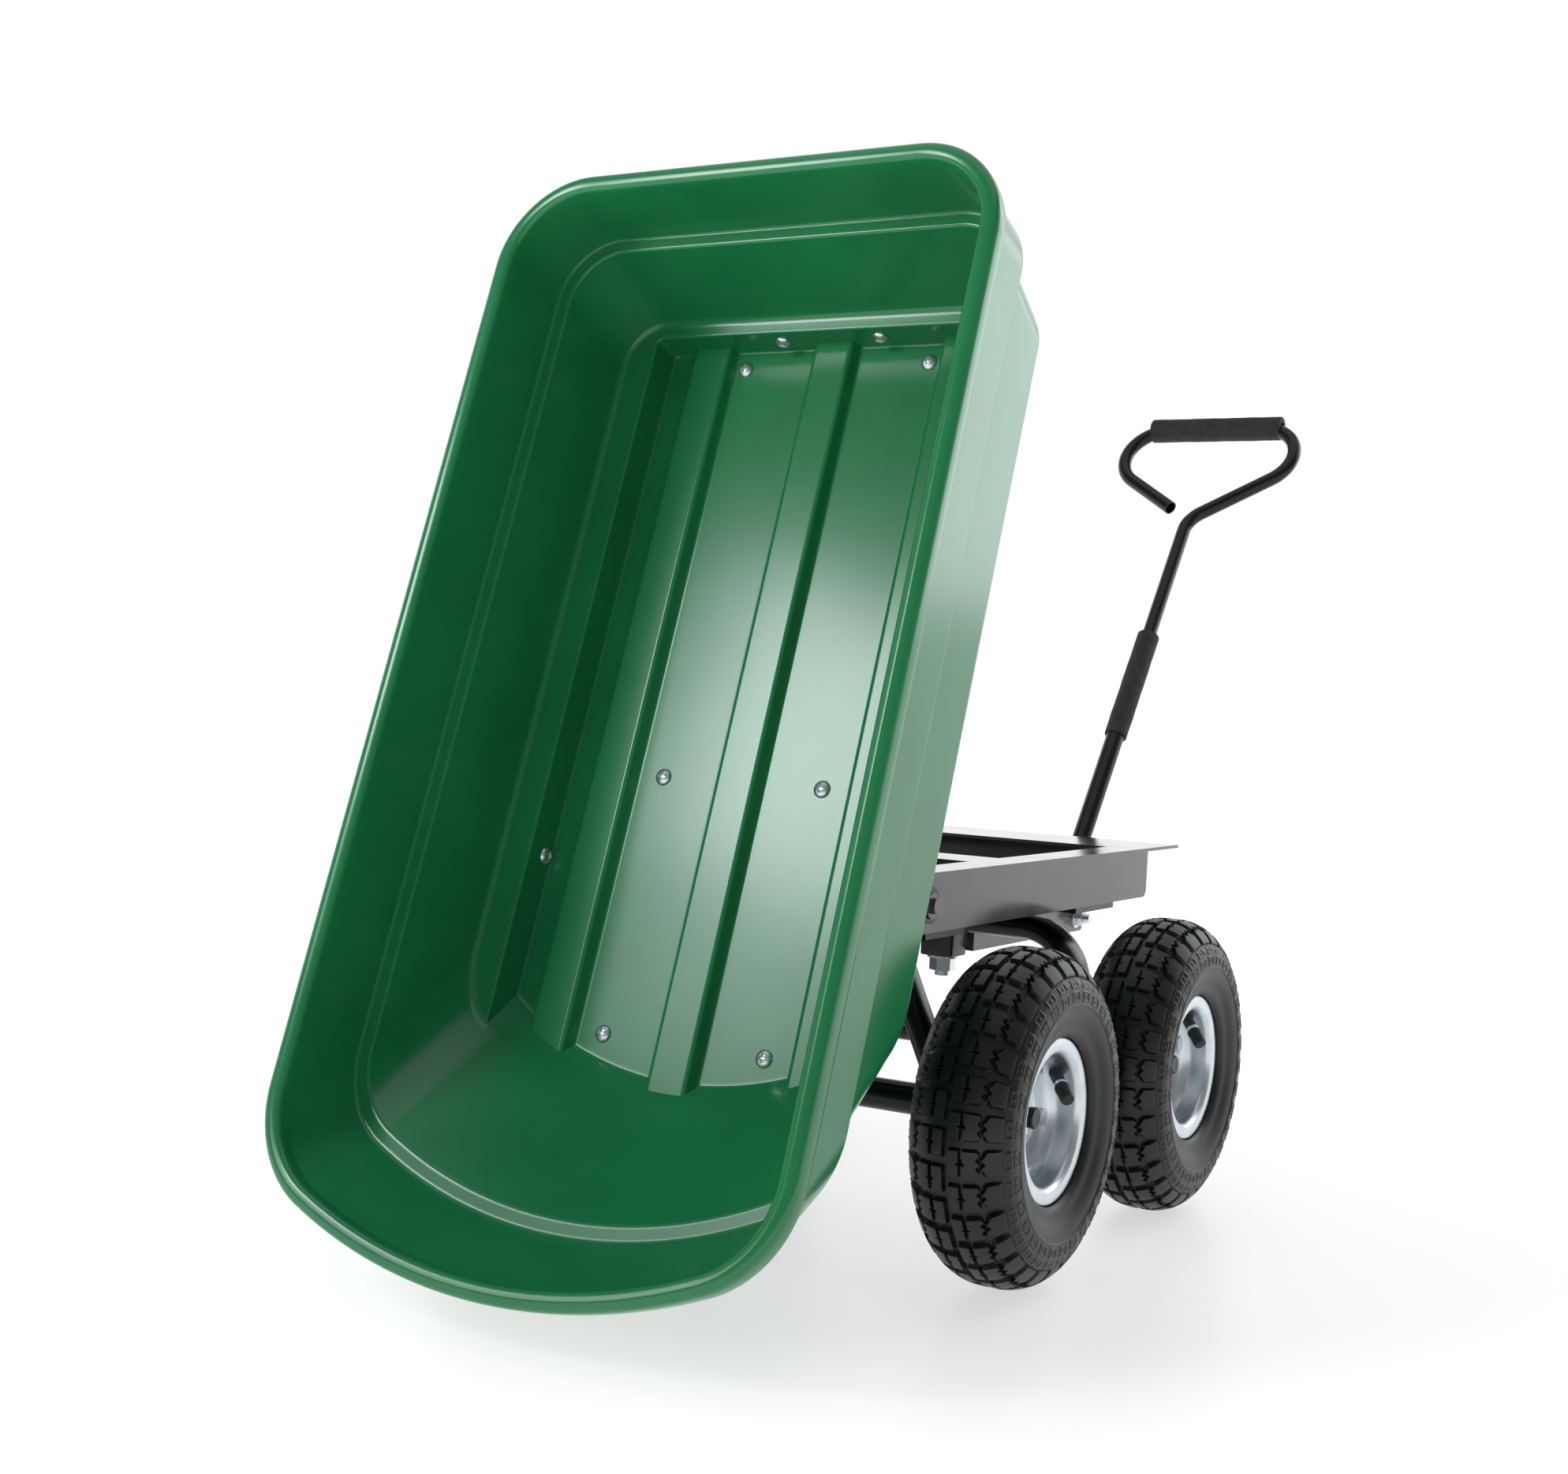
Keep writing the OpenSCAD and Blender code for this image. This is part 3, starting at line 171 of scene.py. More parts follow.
def zinc_plate():
    # Bright zinc on pressed steel: pale, faintly blue, with soft cloudy patches and a fine unevenness
    material, tree, output, place = finish_named("zinc_plate")
    cloud = add(tree, "ShaderNodeTexNoise", {"Vector": place, "Scale": per_metre(14), "Detail": 5.0})
    colour = add(tree, "ShaderNodeValToRGB", {"Fac": cloud.outputs["Fac"]})
    colour.color_ramp.elements[0].position = 0.3
    colour.color_ramp.elements[0].color = linear("#ccd5da")
    colour.color_ramp.elements[1].position = 0.7
    colour.color_ramp.elements[1].color = linear("#dfe5e8")
    gloss = add(tree, "ShaderNodeMapRange", {"Value": cloud.outputs["Fac"], "To Min": 0.3, "To Max": 0.38})
    fine = add(tree, "ShaderNodeTexNoise", {"Vector": place, "Scale": per_metre(1.2), "Detail": 2.0})
    bump = add(
        tree, "ShaderNodeBump", {"Height": fine.outputs["Fac"], "Strength": 0.03, "Distance": 0.1 * MM}
    )
    shader = add(
        tree, "ShaderNodeBsdfPrincipled",
        {
            "Base Color": colour.outputs["Color"], "Metallic": 1.0, "Roughness": gloss.outputs["Result"],
            "Normal": bump.outputs["Normal"],
        },
    )
    tree.links.new(shader.outputs["BSDF"], output.inputs["Surface"])
    return material


def tyre_rubber():
    # Moulded carbon-black rubber: nearly black, with a dull shine and a thin grey bloom in patches
    material, tree, output, place = finish_named("tyre_rubber")
    bloom = add(tree, "ShaderNodeTexNoise", {"Vector": place, "Scale": per_metre(30), "Detail": 5.0})
    colour = add(tree, "ShaderNodeValToRGB", {"Fac": bloom.outputs["Fac"]})
    colour.color_ramp.elements[0].position = 0.35
    colour.color_ramp.elements[0].color = linear("#0c0c0d")
    colour.color_ramp.elements[1].position = 0.75
    colour.color_ramp.elements[1].color = linear("#151516")
    gloss = add(tree, "ShaderNodeMapRange", {"Value": bloom.outputs["Fac"], "To Min": 0.34, "To Max": 0.48})
    skin = add(tree, "ShaderNodeTexNoise", {"Vector": place, "Scale": per_metre(1.5), "Detail": 3.0})
    bump = add(tree, "ShaderNodeBump", {"Height": skin.outputs["Fac"], "Strength": 0.2, "Distance": 0.2 * MM})
    shader = add(
        tree, "ShaderNodeBsdfPrincipled",
        {
            "Base Color": colour.outputs["Color"], "Roughness": gloss.outputs["Result"],
            "Normal": bump.outputs["Normal"], "IOR": 1.47,
        },
    )
    tree.links.new(shader.outputs["BSDF"], output.inputs["Surface"])
    return material


def closed_cell_foam():
    # Closed-cell rubber foam: charcoal, quite matt, with pores about a millimetre apart
    material, tree, output, place = finish_named("closed_cell_foam")
    pores = add(tree, "ShaderNodeTexVoronoi", {"Vector": place, "Scale": per_metre(1.4)})
    shade = add(tree, "ShaderNodeTexNoise", {"Vector": place, "Scale": per_metre(8), "Detail": 4.0})
    colour = add(tree, "ShaderNodeValToRGB", {"Fac": shade.outputs["Fac"]})
    colour.color_ramp.elements[0].position = 0.3
    colour.color_ramp.elements[0].color = linear("#232425")
    colour.color_ramp.elements[1].position = 0.7
    colour.color_ramp.elements[1].color = linear("#303132")
    bump = add(
        tree, "ShaderNodeBump", {"Height": pores.outputs["Distance"], "Strength": 0.5, "Distance": 0.4 * MM}
    )
    shader = add(
        tree, "ShaderNodeBsdfPrincipled",
        {
            "Base Color": colour.outputs["Color"], "Roughness": 0.78, "Normal": bump.outputs["Normal"],
            "IOR": 1.45,
        },
    )
    tree.links.new(shader.outputs["BSDF"], output.inputs["Surface"])
    return material


FINISHES = {
    "green_polyethylene": moulded_polyethylene(),
    "grey_enamel": baked_enamel("satin_grey_enamel", "#454544", "#4e4e4d", 0.13),
    "black_enamel": baked_enamel("gloss_black_enamel", "#08080a", "#0d0d0f", 0.24, ior=1.38),
    "zinc": zinc_plate(),
    "tyre": tyre_rubber(),
    "tube_rubber": baked_enamel("smooth_black_rubber", "#0e0e0f", "#171718", 0.4),
    "foam": closed_cell_foam(),
    "nylon": baked_enamel("black_nylon", "#121213", "#19191a", 0.5),
}


# Mesh helpers


def new_object(name, data):
    thing = bpy.data.objects.new(name, data)
    bpy.context.scene.collection.objects.link(thing)
    return thing


def finished_mesh(name, points, faces, slot, smooth_angle, weld=False):
    """A mesh with its faces turned outwards, shaded smooth below an angle, in its slot's finish."""
    mesh = bpy.data.meshes.new(name)
    mesh.from_pydata([tuple(p) for p in points], [], [tuple(f) for f in faces])
    work = bmesh.new()
    work.from_mesh(mesh)
    if weld:
        bmesh.ops.remove_doubles(work, verts=work.verts, dist=1e-7)
    bmesh.ops.recalc_face_normals(work, faces=work.faces)
    work.to_mesh(mesh)
    work.free()
    mesh.shade_smooth()
    mesh.set_sharp_from_angle(angle=math.radians(smooth_angle))
    mesh.materials.append(FINISHES[slot])
    return mesh


def mesh_piece(name, points, faces, slot, body, stands_for=(), smooth_angle=35):
    """A piece whose mesh is in the row frame, riding on a body."""
    piece = new_object(name, finished_mesh(name, points, faces, slot, smooth_angle, weld=True))
    settle(piece, body, stands_for)
    return piece


def keep_flats(piece):
    """Lets large faces set the shading at their edges, so that flat walls look flat beside round corners."""
    weigh = piece.modifiers.new("keep_flats", "WEIGHTED_NORMAL")
    weigh.keep_sharp = True


def settle(piece, body, stands_for):
    """Gives a piece its body and hides the nodes that it stands for."""
    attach(piece, body)
    if stands_for:
        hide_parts(*stands_for)


def grid_faces(rows, columns, first=0, close_rows=False, close_columns=False):
    """Quads over a grid of points stored row by row."""
    faces = []
    for i in range(rows if close_rows else rows - 1):
        for j in range(columns if close_columns else columns - 1):
            a = first + i * columns + j
            b = first + i * columns + (j + 1) % columns
            c = first + (i + 1) % rows * columns + (j + 1) % columns
            d = first + (i + 1) % rows * columns + j
            faces.append((a, b, c, d))
    return faces


def revolved(profile, steps, closed=True):
    """Points and faces of a profile of (radius, height) turned about Z."""
    points = []
    for i in range(steps):
        turn = 2 * math.pi * i / steps
        points += [Vector((r * math.cos(turn), r * math.sin(turn), z)) for r, z in profile]
    return points, grid_faces(steps, len(profile), close_rows=True, close_columns=closed)


def rounded(path, cut, steps=4, closed=False):
    """A path of vectors with each corner replaced by a curve that starts this far before it."""
    result = []
    count = len(path)
    for i, corner in enumerate(path):
        if not closed and i in (0, count - 1):
            result.append(corner)
            continue
        before = path[i - 1] - corner
        after = path[(i + 1) % count] - corner
        reach = cut[i] if isinstance(cut, (list, tuple)) else cut
        start = corner + before.normalized() * min(reach, 0.49 * before.length)
        end = corner + after.normalized() * min(reach, 0.49 * after.length)
        for k in range(steps + 1):
            t = k / steps
            result.append(start * (1 - t) ** 2 + corner * 2 * t * (1 - t) + end * t ** 2)
    return result


# The tub, in its own frame: u from the head wall to the lip, v to the left, w up from the inside floor, in mm

RIM_LENGTH = 862
RIM_WIDTH = 445
TUB_DEPTH = 187
WALL = 4
HEAD_OVERHANG = 62
RIM_ROLL = 10
UPPER_SHELF = 115
SHELF_WIDTH = 12
LEDGE_FALL = 0.36  # Half of what the ledge falls towards the inside
LOWER_SHELF = 30
HALF_RECESS = 163
FLOOR_LENGTH = 620
FLOOR_SWEEP = 285
RAMP_RISE = 28
FLOOR_CORNER = 5
RIB_HEIGHT = 10
RIB_FOOT = 43
RIB_TOP = 34
OUTER_RIB_EDGE = 97
HINGE_FROM_HEAD = 457
HINGE_DROP = 25

RIM_LIP = RIM_LENGTH - HEAD_OVERHANG
RIM_HALF = RIM_WIDTH / 2

# A ring of the tub's skin: head, half width, lip, then the radii of head corners, rear corners and lip sweep
RIM_OUTER = (-HEAD_OVERHANG, RIM_HALF, RIM_LIP, 76, 88, 430)
SHELF_OUTER = (RIM_OUTER[0] + RIM_ROLL + 6, RIM_HALF - RIM_ROLL - 4, RIM_LIP - RIM_ROLL - 42, 55, 75, 385)
SHELF_INNER = tuple(
    value + sign * SHELF_WIDTH for value, sign in zip(SHELF_OUTER, (1, -1, -1, -1, -1, -1))
)
BOWL_FOOT = (SHELF_INNER[0] + 20, SHELF_INNER[1] - 4.5, FLOOR_LENGTH + RAMP_RISE, 40, 80, 320)

TUB_FRAME = (
    Matrix.Translation(HINGE)
    @ Matrix.Rotation(-TIP, 4, "Y")
    @ Matrix.Diagonal((-MM, MM, MM, 1))
    @ Matrix.Translation((-HINGE_FROM_HEAD, 0, HINGE_DROP))
)

CORNER_STEPS = 18
SIDE_STEPS = 10
MEET_STEPS = 14
TURN_STEPS = 8
SWEEP_STEPS = 18


def grown(ring, by):
    head, half, lip, head_r, rear_r, sweep = ring
    return (head - by, half + by, lip + by, head_r + by, rear_r + by, sweep + by)


def rim_ring(inset):
    return grown(RIM_OUTER, -inset)


def rear_corner(ring):
    """Centre of the rear corner, and the angle at which it runs into the lip's broad sweep."""
    _, half, lip, _, rear_r, sweep = ring
    v = half - rear_r
    along = math.sqrt((sweep - rear_r) ** 2 - v ** 2)
    return lip - sweep + along, v, math.atan2(v, along)


BOWL_U, BOWL_V, BOWL_TURN = rear_corner(BOWL_FOOT)
MEET = math.asin((HALF_RECESS - BOWL_V) / BOWL_FOOT[4])
MEET_SHARE = (math.pi / 2 - MEET) / (math.pi / 2 - BOWL_TURN)
MEET_U = BOWL_U + BOWL_FOOT[4] * math.cos(MEET)


def arc(centre_u, centre_v, radius, start, end, steps, skip_first=False):
    points = []
    for i in range(1 if skip_first else 0, steps + 1):
        turn = start + (end - start) * i / steps
        points.append((centre_u + radius * math.cos(turn), centre_v + radius * math.sin(turn)))
    return points


def ring_half(ring, w):
    """Left half of a ring of the tub's skin, from the head to the middle of the lip."""
    head, half, lip, head_r, rear_r, sweep = ring
    u, v, turn = rear_corner(ring)
    meet = math.pi / 2 - MEET_SHARE * (math.pi / 2 - turn)
    flat = arc(head + head_r, half - head_r, head_r, math.pi, math.pi / 2, CORNER_STEPS)
    side = u - head - head_r
    flat += [(head + head_r + side * i / SIDE_STEPS, half) for i in range(1, SIDE_STEPS)]
    flat += arc(u, v, rear_r, math.pi / 2, meet, MEET_STEPS)
    flat += arc(u, v, rear_r, meet, turn, TURN_STEPS, skip_first=True)
    flat += arc(lip - sweep, 0, sweep, turn, 0, SWEEP_STEPS, skip_first=True)
    return [Vector((a, b, w)) for a, b in flat]


def floor_half(by, w):
    """Left half of the recessed floor's edge, grown outwards by a thickness."""
    half = HALF_RECESS + by
    corner = FLOOR_CORNER + by
    sweep = FLOOR_SWEEP + by
    lip = FLOOR_LENGTH + by
    start = math.asin(half / sweep)
    start_u = lip - sweep + sweep * math.cos(start)
    flat = arc(FLOOR_CORNER, half - corner, corner, math.pi, math.pi / 2, CORNER_STEPS)
    side = BOWL_U - FLOOR_CORNER
    flat += [(FLOOR_CORNER + side * i / SIDE_STEPS, half) for i in range(1, SIDE_STEPS)]
    flat += [(BOWL_U + (start_u - BOWL_U) * i / MEET_STEPS, half) for i in range(MEET_STEPS + 1)]
    flat += arc(lip - sweep, 0, sweep, start, 0, TURN_STEPS + SWEEP_STEPS, skip_first=True)
    return [Vector((a, b, w)) for a, b in flat]


def recess_half(by, w, bowl, floor_edge):
    """Left half of the lower shelf's inner edge, which runs into the ramp at the rear."""
    half = HALF_RECESS + by
    corner = FLOOR_CORNER + by
    flat = arc(FLOOR_CORNER, half - corner, corner, math.pi, math.pi / 2, CORNER_STEPS)
    side = BOWL_U - FLOOR_CORNER
    flat += [(FLOOR_CORNER + side * i / SIDE_STEPS, half) for i in range(1, SIDE_STEPS)]
    flat += [(BOWL_U + (MEET_U - BOWL_U) * i / MEET_STEPS, half) for i in range(MEET_STEPS)]
    points = [Vector((a, b, w)) for a, b in flat]
    seam = 0.03
    return points + [a.lerp(b, seam) for a, b in zip(bowl[len(points):], floor_edge[len(points):])]


def tub_profiles():
    """The skin's profile at each station of the left half, with its corners rounded."""
    inner_bowl = ring_half(BOWL_FOOT, LOWER_SHELF)
    outer_bowl = ring_half(grown(BOWL_FOOT, WALL), LOWER_SHELF - WALL)
    inner_floor = floor_half(0, 0)
    outer_floor = floor_half(WALL, -WALL)
    floor_round = 4
    roll_foot = TUB_DEPTH - 19
    # Rings from the floor over the rim to the underside, each with how far its corner is cut back
    rings_and_cuts = [
        (floor_half(-floor_round, 0), 0),
        (inner_floor, 3.0),
        (recess_half(0, LOWER_SHELF, inner_bowl, inner_floor), 2.2),
        (inner_bowl, 7.0),
        (ring_half(SHELF_INNER, UPPER_SHELF - LEDGE_FALL), 2.5),
        (ring_half(SHELF_OUTER, UPPER_SHELF + LEDGE_FALL), 3.0),
        (ring_half(rim_ring(RIM_ROLL + 5.0), TUB_DEPTH - 12.0), 1.2),
        (ring_half(rim_ring(RIM_ROLL + 4.4), TUB_DEPTH), 7.0),
        (ring_half(rim_ring(0), TUB_DEPTH), 7.0),
        (ring_half(rim_ring(0), TUB_DEPTH - 13.0), 4.0),
        (ring_half(rim_ring(1), roll_foot), 1.5),
        (ring_half(rim_ring(RIM_ROLL - WALL + 0.5), roll_foot - 1.5), 2.0),
        (ring_half(grown(SHELF_OUTER, WALL), UPPER_SHELF + 1 - WALL), 4.0),
        (ring_half(grown(SHELF_INNER, WALL), UPPER_SHELF - 1 - WALL), 4.0),
        (outer_bowl, 8.0),
        (recess_half(WALL, LOWER_SHELF - WALL, outer_bowl, outer_floor), 3.0),
        (outer_floor, 4.0),
        (floor_half(-floor_round, -WALL), 0),
    ]
    cuts = [cut for _, cut in rings_and_cuts]
    return [rounded([ring[i] for ring, _ in rings_and_cuts], cuts) for i in range(len(inner_floor))]


def floor_rib(low, high):
    """A raised rib of the floor between two values of v: a rounded trapezium that runs into the ramp."""
    lean = (RIB_FOOT - RIB_TOP) / 2
    sunk = -0.5
    foot = 3.0
    across = rounded(
        [
            Vector((low - foot, sunk)), Vector((low - foot, 0.05)), Vector((low, 0.05)),
            Vector((low + lean, RIB_HEIGHT)), Vector((high - lean, RIB_HEIGHT)),
            Vector((high, 0.05)), Vector((high + foot, 0.05)), Vector((high + foot, sunk)),
        ],
        [0, 0.01, 3.0, 3.0, 3.0, 3.0, 0.01, 0],
        steps=5,
    )
    lengths = 24
    tuck = 1.5
    points = []
    for k in range(lengths + 1):
        for v, w in across:
            edge = FLOOR_LENGTH - FLOOR_SWEEP + math.sqrt(FLOOR_SWEEP ** 2 - v ** 2)
            end = edge + max(w, 0) * RAMP_RISE / LOWER_SHELF + tuck
            points.append(Vector((-0.5 + (end + 0.5) * k / lengths, v, w)))
    faces = grid_faces(lengths + 1, len(across), close_columns=True)
    faces.append(list(range(len(across))))
    faces.append(list(range(len(points) - len(across), len(points))))
    return points, faces


def build_tub():
    half = tub_profiles()
    other = [[Vector((p.x, -p.y, p.z)) for p in profile] for profile in half[-2::-1]]
    stations = half + other
    size = len(stations[0])
    points = [p for profile in stations for p in profile]
    faces = grid_faces(len(stations), size, close_rows=True)
    faces.append([i * size for i in range(len(stations))])
    faces.append([i * size + size - 1 for i in range(len(stations))])
    half_foot = RIB_FOOT / 2
    for low, high in (
        (-half_foot, half_foot),
        (OUTER_RIB_EDGE, OUTER_RIB_EDGE + RIB_FOOT),
        (-OUTER_RIB_EDGE - RIB_FOOT, -OUTER_RIB_EDGE),
    ):
        rib_points, rib_faces = floor_rib(low, high)
        first = len(points)
        points += rib_points
        faces += [[first + i for i in face] for face in rib_faces]
    placed = [TUB_FRAME @ p for p in points]
    tub = mesh_piece("tub_shell", placed, faces, "green_polyethylene", "tub", ["tub"], smooth_angle=40)
    keep_flats(tub)


# Tyres: a casing with two rows of blocks, shoulder lugs and sidewall frames, in the wheel's own frame, in mm

TYRE_R = 129
SHOULDER_R = 36
CROWN_HALF = 6
SECTION_R = TYRE_R - SHOULDER_R
PITCHES = 30
PITCH = 27.0
COLUMNS_PER_PITCH = 32
BLOCK_HEIGHT = 4.0
GAP_HALF = 3.4
LUG_END = 43.5
GROOVES_END, GROOVES_FADE = 50, 13
PATTERN_END, PATTERN_STEP = 66.8, 0.8
PLAIN_START, PLAIN_ROWS = 68.5, 14
RIM_SEAT_R = 63.9
BEAD_TURN = math.acos((RIM_SEAT_R - SECTION_R) / SHOULDER_R)
BEAD_HALF = 27.5
BEAD_FOOT_R = 53.0
BEAD_FLARE = 4.6
FLARE_TURN = math.radians(118)


def stripe(x, low, high, soft=0.4):
    """1 inside a range and 0 outside it, with a short slope at both ends."""
    return np.clip((x - low) / soft + 0.5, 0, 1) * np.clip((high - x) / soft + 0.5, 0, 1)


def tread_height(t, pitch_share):
    """Share of a block's height at a distance across the tread and a share of a pitch, and sidewall lines."""
    along = pitch_share * PITCH
    middle = np.abs(along - PITCH / 2)
    side = np.abs(t)
    half_block = PITCH / 2 - GAP_HALF
    # Blocks with a saw-toothed edge, each with a slot along it and a shorter one across
    teeth = np.abs((pitch_share * 4) % 1 - 0.5) * 2
    saw_edge = 24.0 + 3.0 * teeth
    block = stripe(side, 1.8, saw_edge) * stripe(middle, -1, half_block)
    long_slots = stripe(side, 10.6, 13.4) * stripe(middle, 1.6, PITCH)
    cross_slots = stripe(side, 9.0, 15.0) * stripe(middle, -1, 0.7)
    block = block * (1 - 0.9 * np.clip(long_slots + cross_slots, 0, 1))
    # Shoulder lugs, narrower towards the blocks
    nose = np.clip(32.0 - side, 0, 4.5)
    lug = stripe(side, saw_edge + 2.8, LUG_END, soft=0.8) * stripe(middle, -1, half_block - nose)
    # Two rows of raised frames on the sidewall, between two fine rings
    frames = np.zeros_like(side)
    for centre, half_across in ((49.5, 3.4), (59.5, 3.9)):
        across = np.abs(side - centre)
        reach = np.maximum(middle / 8.2 * half_across, across)
        frames = frames + stripe(reach, half_across - 1.0, half_across, soft=0.5)
        frames = frames + stripe(np.maximum(middle, across), -1, 0.9, soft=0.5)
    lines = stripe(side, 44.8, 45.6) + stripe(side, 65.0, 65.8)
    return np.maximum(block, lug), 0.6 * np.clip(frames + lines, 0, 1)


def tread_rows():
    """Distances across the tyre from the middle to one bead: close where the pattern is fine."""
    bead = CROWN_HALF + SHOULDER_R * BEAD_TURN
    fine = list(np.arange(0, PATTERN_END, PATTERN_STEP))
    return np.array(fine + list(np.linspace(PLAIN_START, bead, PLAIN_ROWS)))


def tyre_mesh():
    half = tread_rows()
    across = np.concatenate([-half[:0:-1], half])
    columns = PITCHES * COLUMNS_PER_PITCH
    share = np.arange(columns) / COLUMNS_PER_PITCH
    t, pitch_share = np.meshgrid(across, share)
    shifted = np.where(t < 0, pitch_share + 0.5, pitch_share) % 1
    side = np.abs(t)
    turn = np.clip((side - CROWN_HALF) / SHOULDER_R, 0, None)
    raised, lines = tread_height(t, shifted)
    sunk = BLOCK_HEIGHT * np.clip((GROOVES_END - side) / GROOVES_FADE, 0, 1)
    reach = SHOULDER_R - sunk * (1 - raised) + lines
    flat = np.minimum(side, CROWN_HALF)
    radius = SECTION_R + reach * np.cos(turn)
    settled = np.clip((turn - FLARE_TURN) / (BEAD_TURN - FLARE_TURN), 0, 1)
    flare = BEAD_FLARE * settled ** 2 * (3 - 2 * settled)
    offset = np.sign(t) * (flat + reach * np.sin(turn) + flare)
    theta = 2 * math.pi * pitch_share / PITCHES
    x, y, z = radius * np.cos(theta), radius * np.sin(theta), offset
    points = [Vector(p) * MM for p in np.stack([x, y, z], axis=-1).reshape(-1, 3)]
    width = len(across)
    faces = grid_faces(columns, width, close_rows=True)
    first = len(points)
    seat = [
        (RIM_SEAT_R, -BEAD_HALF), (BEAD_FOOT_R, -BEAD_HALF), (BEAD_FOOT_R, BEAD_HALF), (RIM_SEAT_R, BEAD_HALF)
    ]
    for angle in theta[:, 0]:
        points += [Vector((r * math.cos(angle), r * math.sin(angle), s)) * MM for r, s in seat]
    count = len(seat)
    faces += grid_faces(columns, count, first=first, close_rows=True)
    for i in range(columns):
        j = (i + 1) % columns
        faces.append((i * width, j * width, first + j * count, first + i * count))
        last, last_seat = width - 1, first + count - 1
        faces.append((i * width + last, last_seat + i * count, last_seat + j * count, j * width + last))
    return finished_mesh("tyre", points, faces, "tyre", smooth_angle=40)


# Rims: one pressed half, from the hub's hole to the rolled flange, in the wheel's own frame, in mm

RIM_R = 63.5
RIM_HALF_W = 30.5
BARREL_R = 52
SHEET = 2
HUB_R = 15.1


def rim_mesh():
    face = [
        (HUB_R, SHEET), (22, SHEET), (23.5, SHEET + 1.2), (26.5, SHEET + 1.2), (28, SHEET), (40, SHEET),
        (45.5, 4.5), (48.8, 11.0), (BARREL_R - SHEET, RIM_HALF_W - 4.5), (53.0, RIM_HALF_W - 0.8),
        (60.5, RIM_HALF_W), (RIM_R, RIM_HALF_W - 0.6), (RIM_R - 0.6, RIM_HALF_W - 2.4),
        (54.5, RIM_HALF_W - 2.8), (BARREL_R, RIM_HALF_W - 6), (50.8, 10.6), (47.0, 2.6), (41, 0), (HUB_R, 0),
    ]
    path = rounded([Vector(p) for p in face], 2.2, steps=4, closed=True)
    points, faces = revolved([(p.x * MM, p.y * MM) for p in path], 128)
    return finished_mesh("rim", points, faces, "zinc", smooth_angle=50)


def wheel_piece(name, mesh, place, body, stands_for):
    piece = new_object(name, mesh)
    piece.matrix_world = place
    settle(piece, body, stands_for)


VALVE_LEAN = math.radians(38)
VALVE_FOOT_R, VALVE_FOOT_S = 52, 9.36
VALVE_TURNS = {"rear": 36, "front": 53}


def valve_line(wheel):
    """The stem's line from the barrel towards the hub, leaning outwards, with Z along it, in mm."""
    outward = 1 if wheel.endswith("left") else -1
    turn = math.radians(VALVE_TURNS[wheel.split("_")[0]])
    radial = Vector((math.cos(turn), 0, math.sin(turn)))
    axial = Vector((0, outward, 0))
    along = axial * math.sin(VALVE_LEAN) - radial * math.cos(VALVE_LEAN)
    foot = Vector(JOINTS[wheel + "_spin"]["pos_m"]) + (radial * VALVE_FOOT_R + axial * VALVE_FOOT_S) * MM
    return Matrix.Translation(foot) @ along.to_track_quat("Z", "Y").to_matrix().to_4x4() @ Matrix.Scale(MM, 4)


def build_valves():
    """A plated collar and a black cap over the end of each stem."""
    collar = [(5.02, 17.5), (5.5, 17.5), (5.7, 18.2), (5.5, 20.5), (5.02, 20.5)]
    cap = [
        (0, 35.6), (5.02, 35.6), (5.02, 20.8), (5.9, 20.8), (6.1, 21.6), (6.1, 24.6), (5.6, 25.4),
        (5.6, 35.0), (4.9, 36.6), (0, 37.0),
    ]
    for wheel in WHEELS:
        place = valve_line(wheel)
        for name, profile, slot in (("valve_collar", collar, "zinc"), ("valve_cap", cap, "nylon")):
            points, faces = revolved(profile, 40, closed=name == "valve_collar")
            mesh_piece(wheel + "_" + name, [place @ p for p in points], faces, slot, wheel + "_wheel")


def build_wheels():
    tyre = tyre_mesh()
    rim = rim_mesh()
    for wheel in WHEELS:
        centre = Vector(JOINTS[wheel + "_spin"]["pos_m"])
        outward = math.radians(-90 if wheel.endswith("left") else 90)
        place = Matrix.Translation(centre) @ Matrix.Rotation(outward, 4, "X")
        body = wheel + "_wheel"
        wheel_piece(wheel + "_tread", tyre, place, body, [wheel + "_tyre"])
        wheel_piece(wheel + "_rim_face", rim, place, body, [wheel + "_rim_outer"])
        inward = place @ Matrix.Rotation(math.pi, 4, "X")
        wheel_piece(wheel + "_rim_back", rim, inward, body, [wheel + "_rim_inner"])


# Bolts through the tub: pan heads with a cross recess, in the tub's frame, in mm

BOLT_D = 8
BOLT_HEAD_D = 14
BOLT_HEAD_H = 4
FLOOR_BOLTS = ((17, 87), (381, 73), (591, 73))
HEAD_BOLT_V, HEAD_BOLT_W = 46, 15
SIDE_BOLT_W = 8
BOLT_TAIL = 17.5


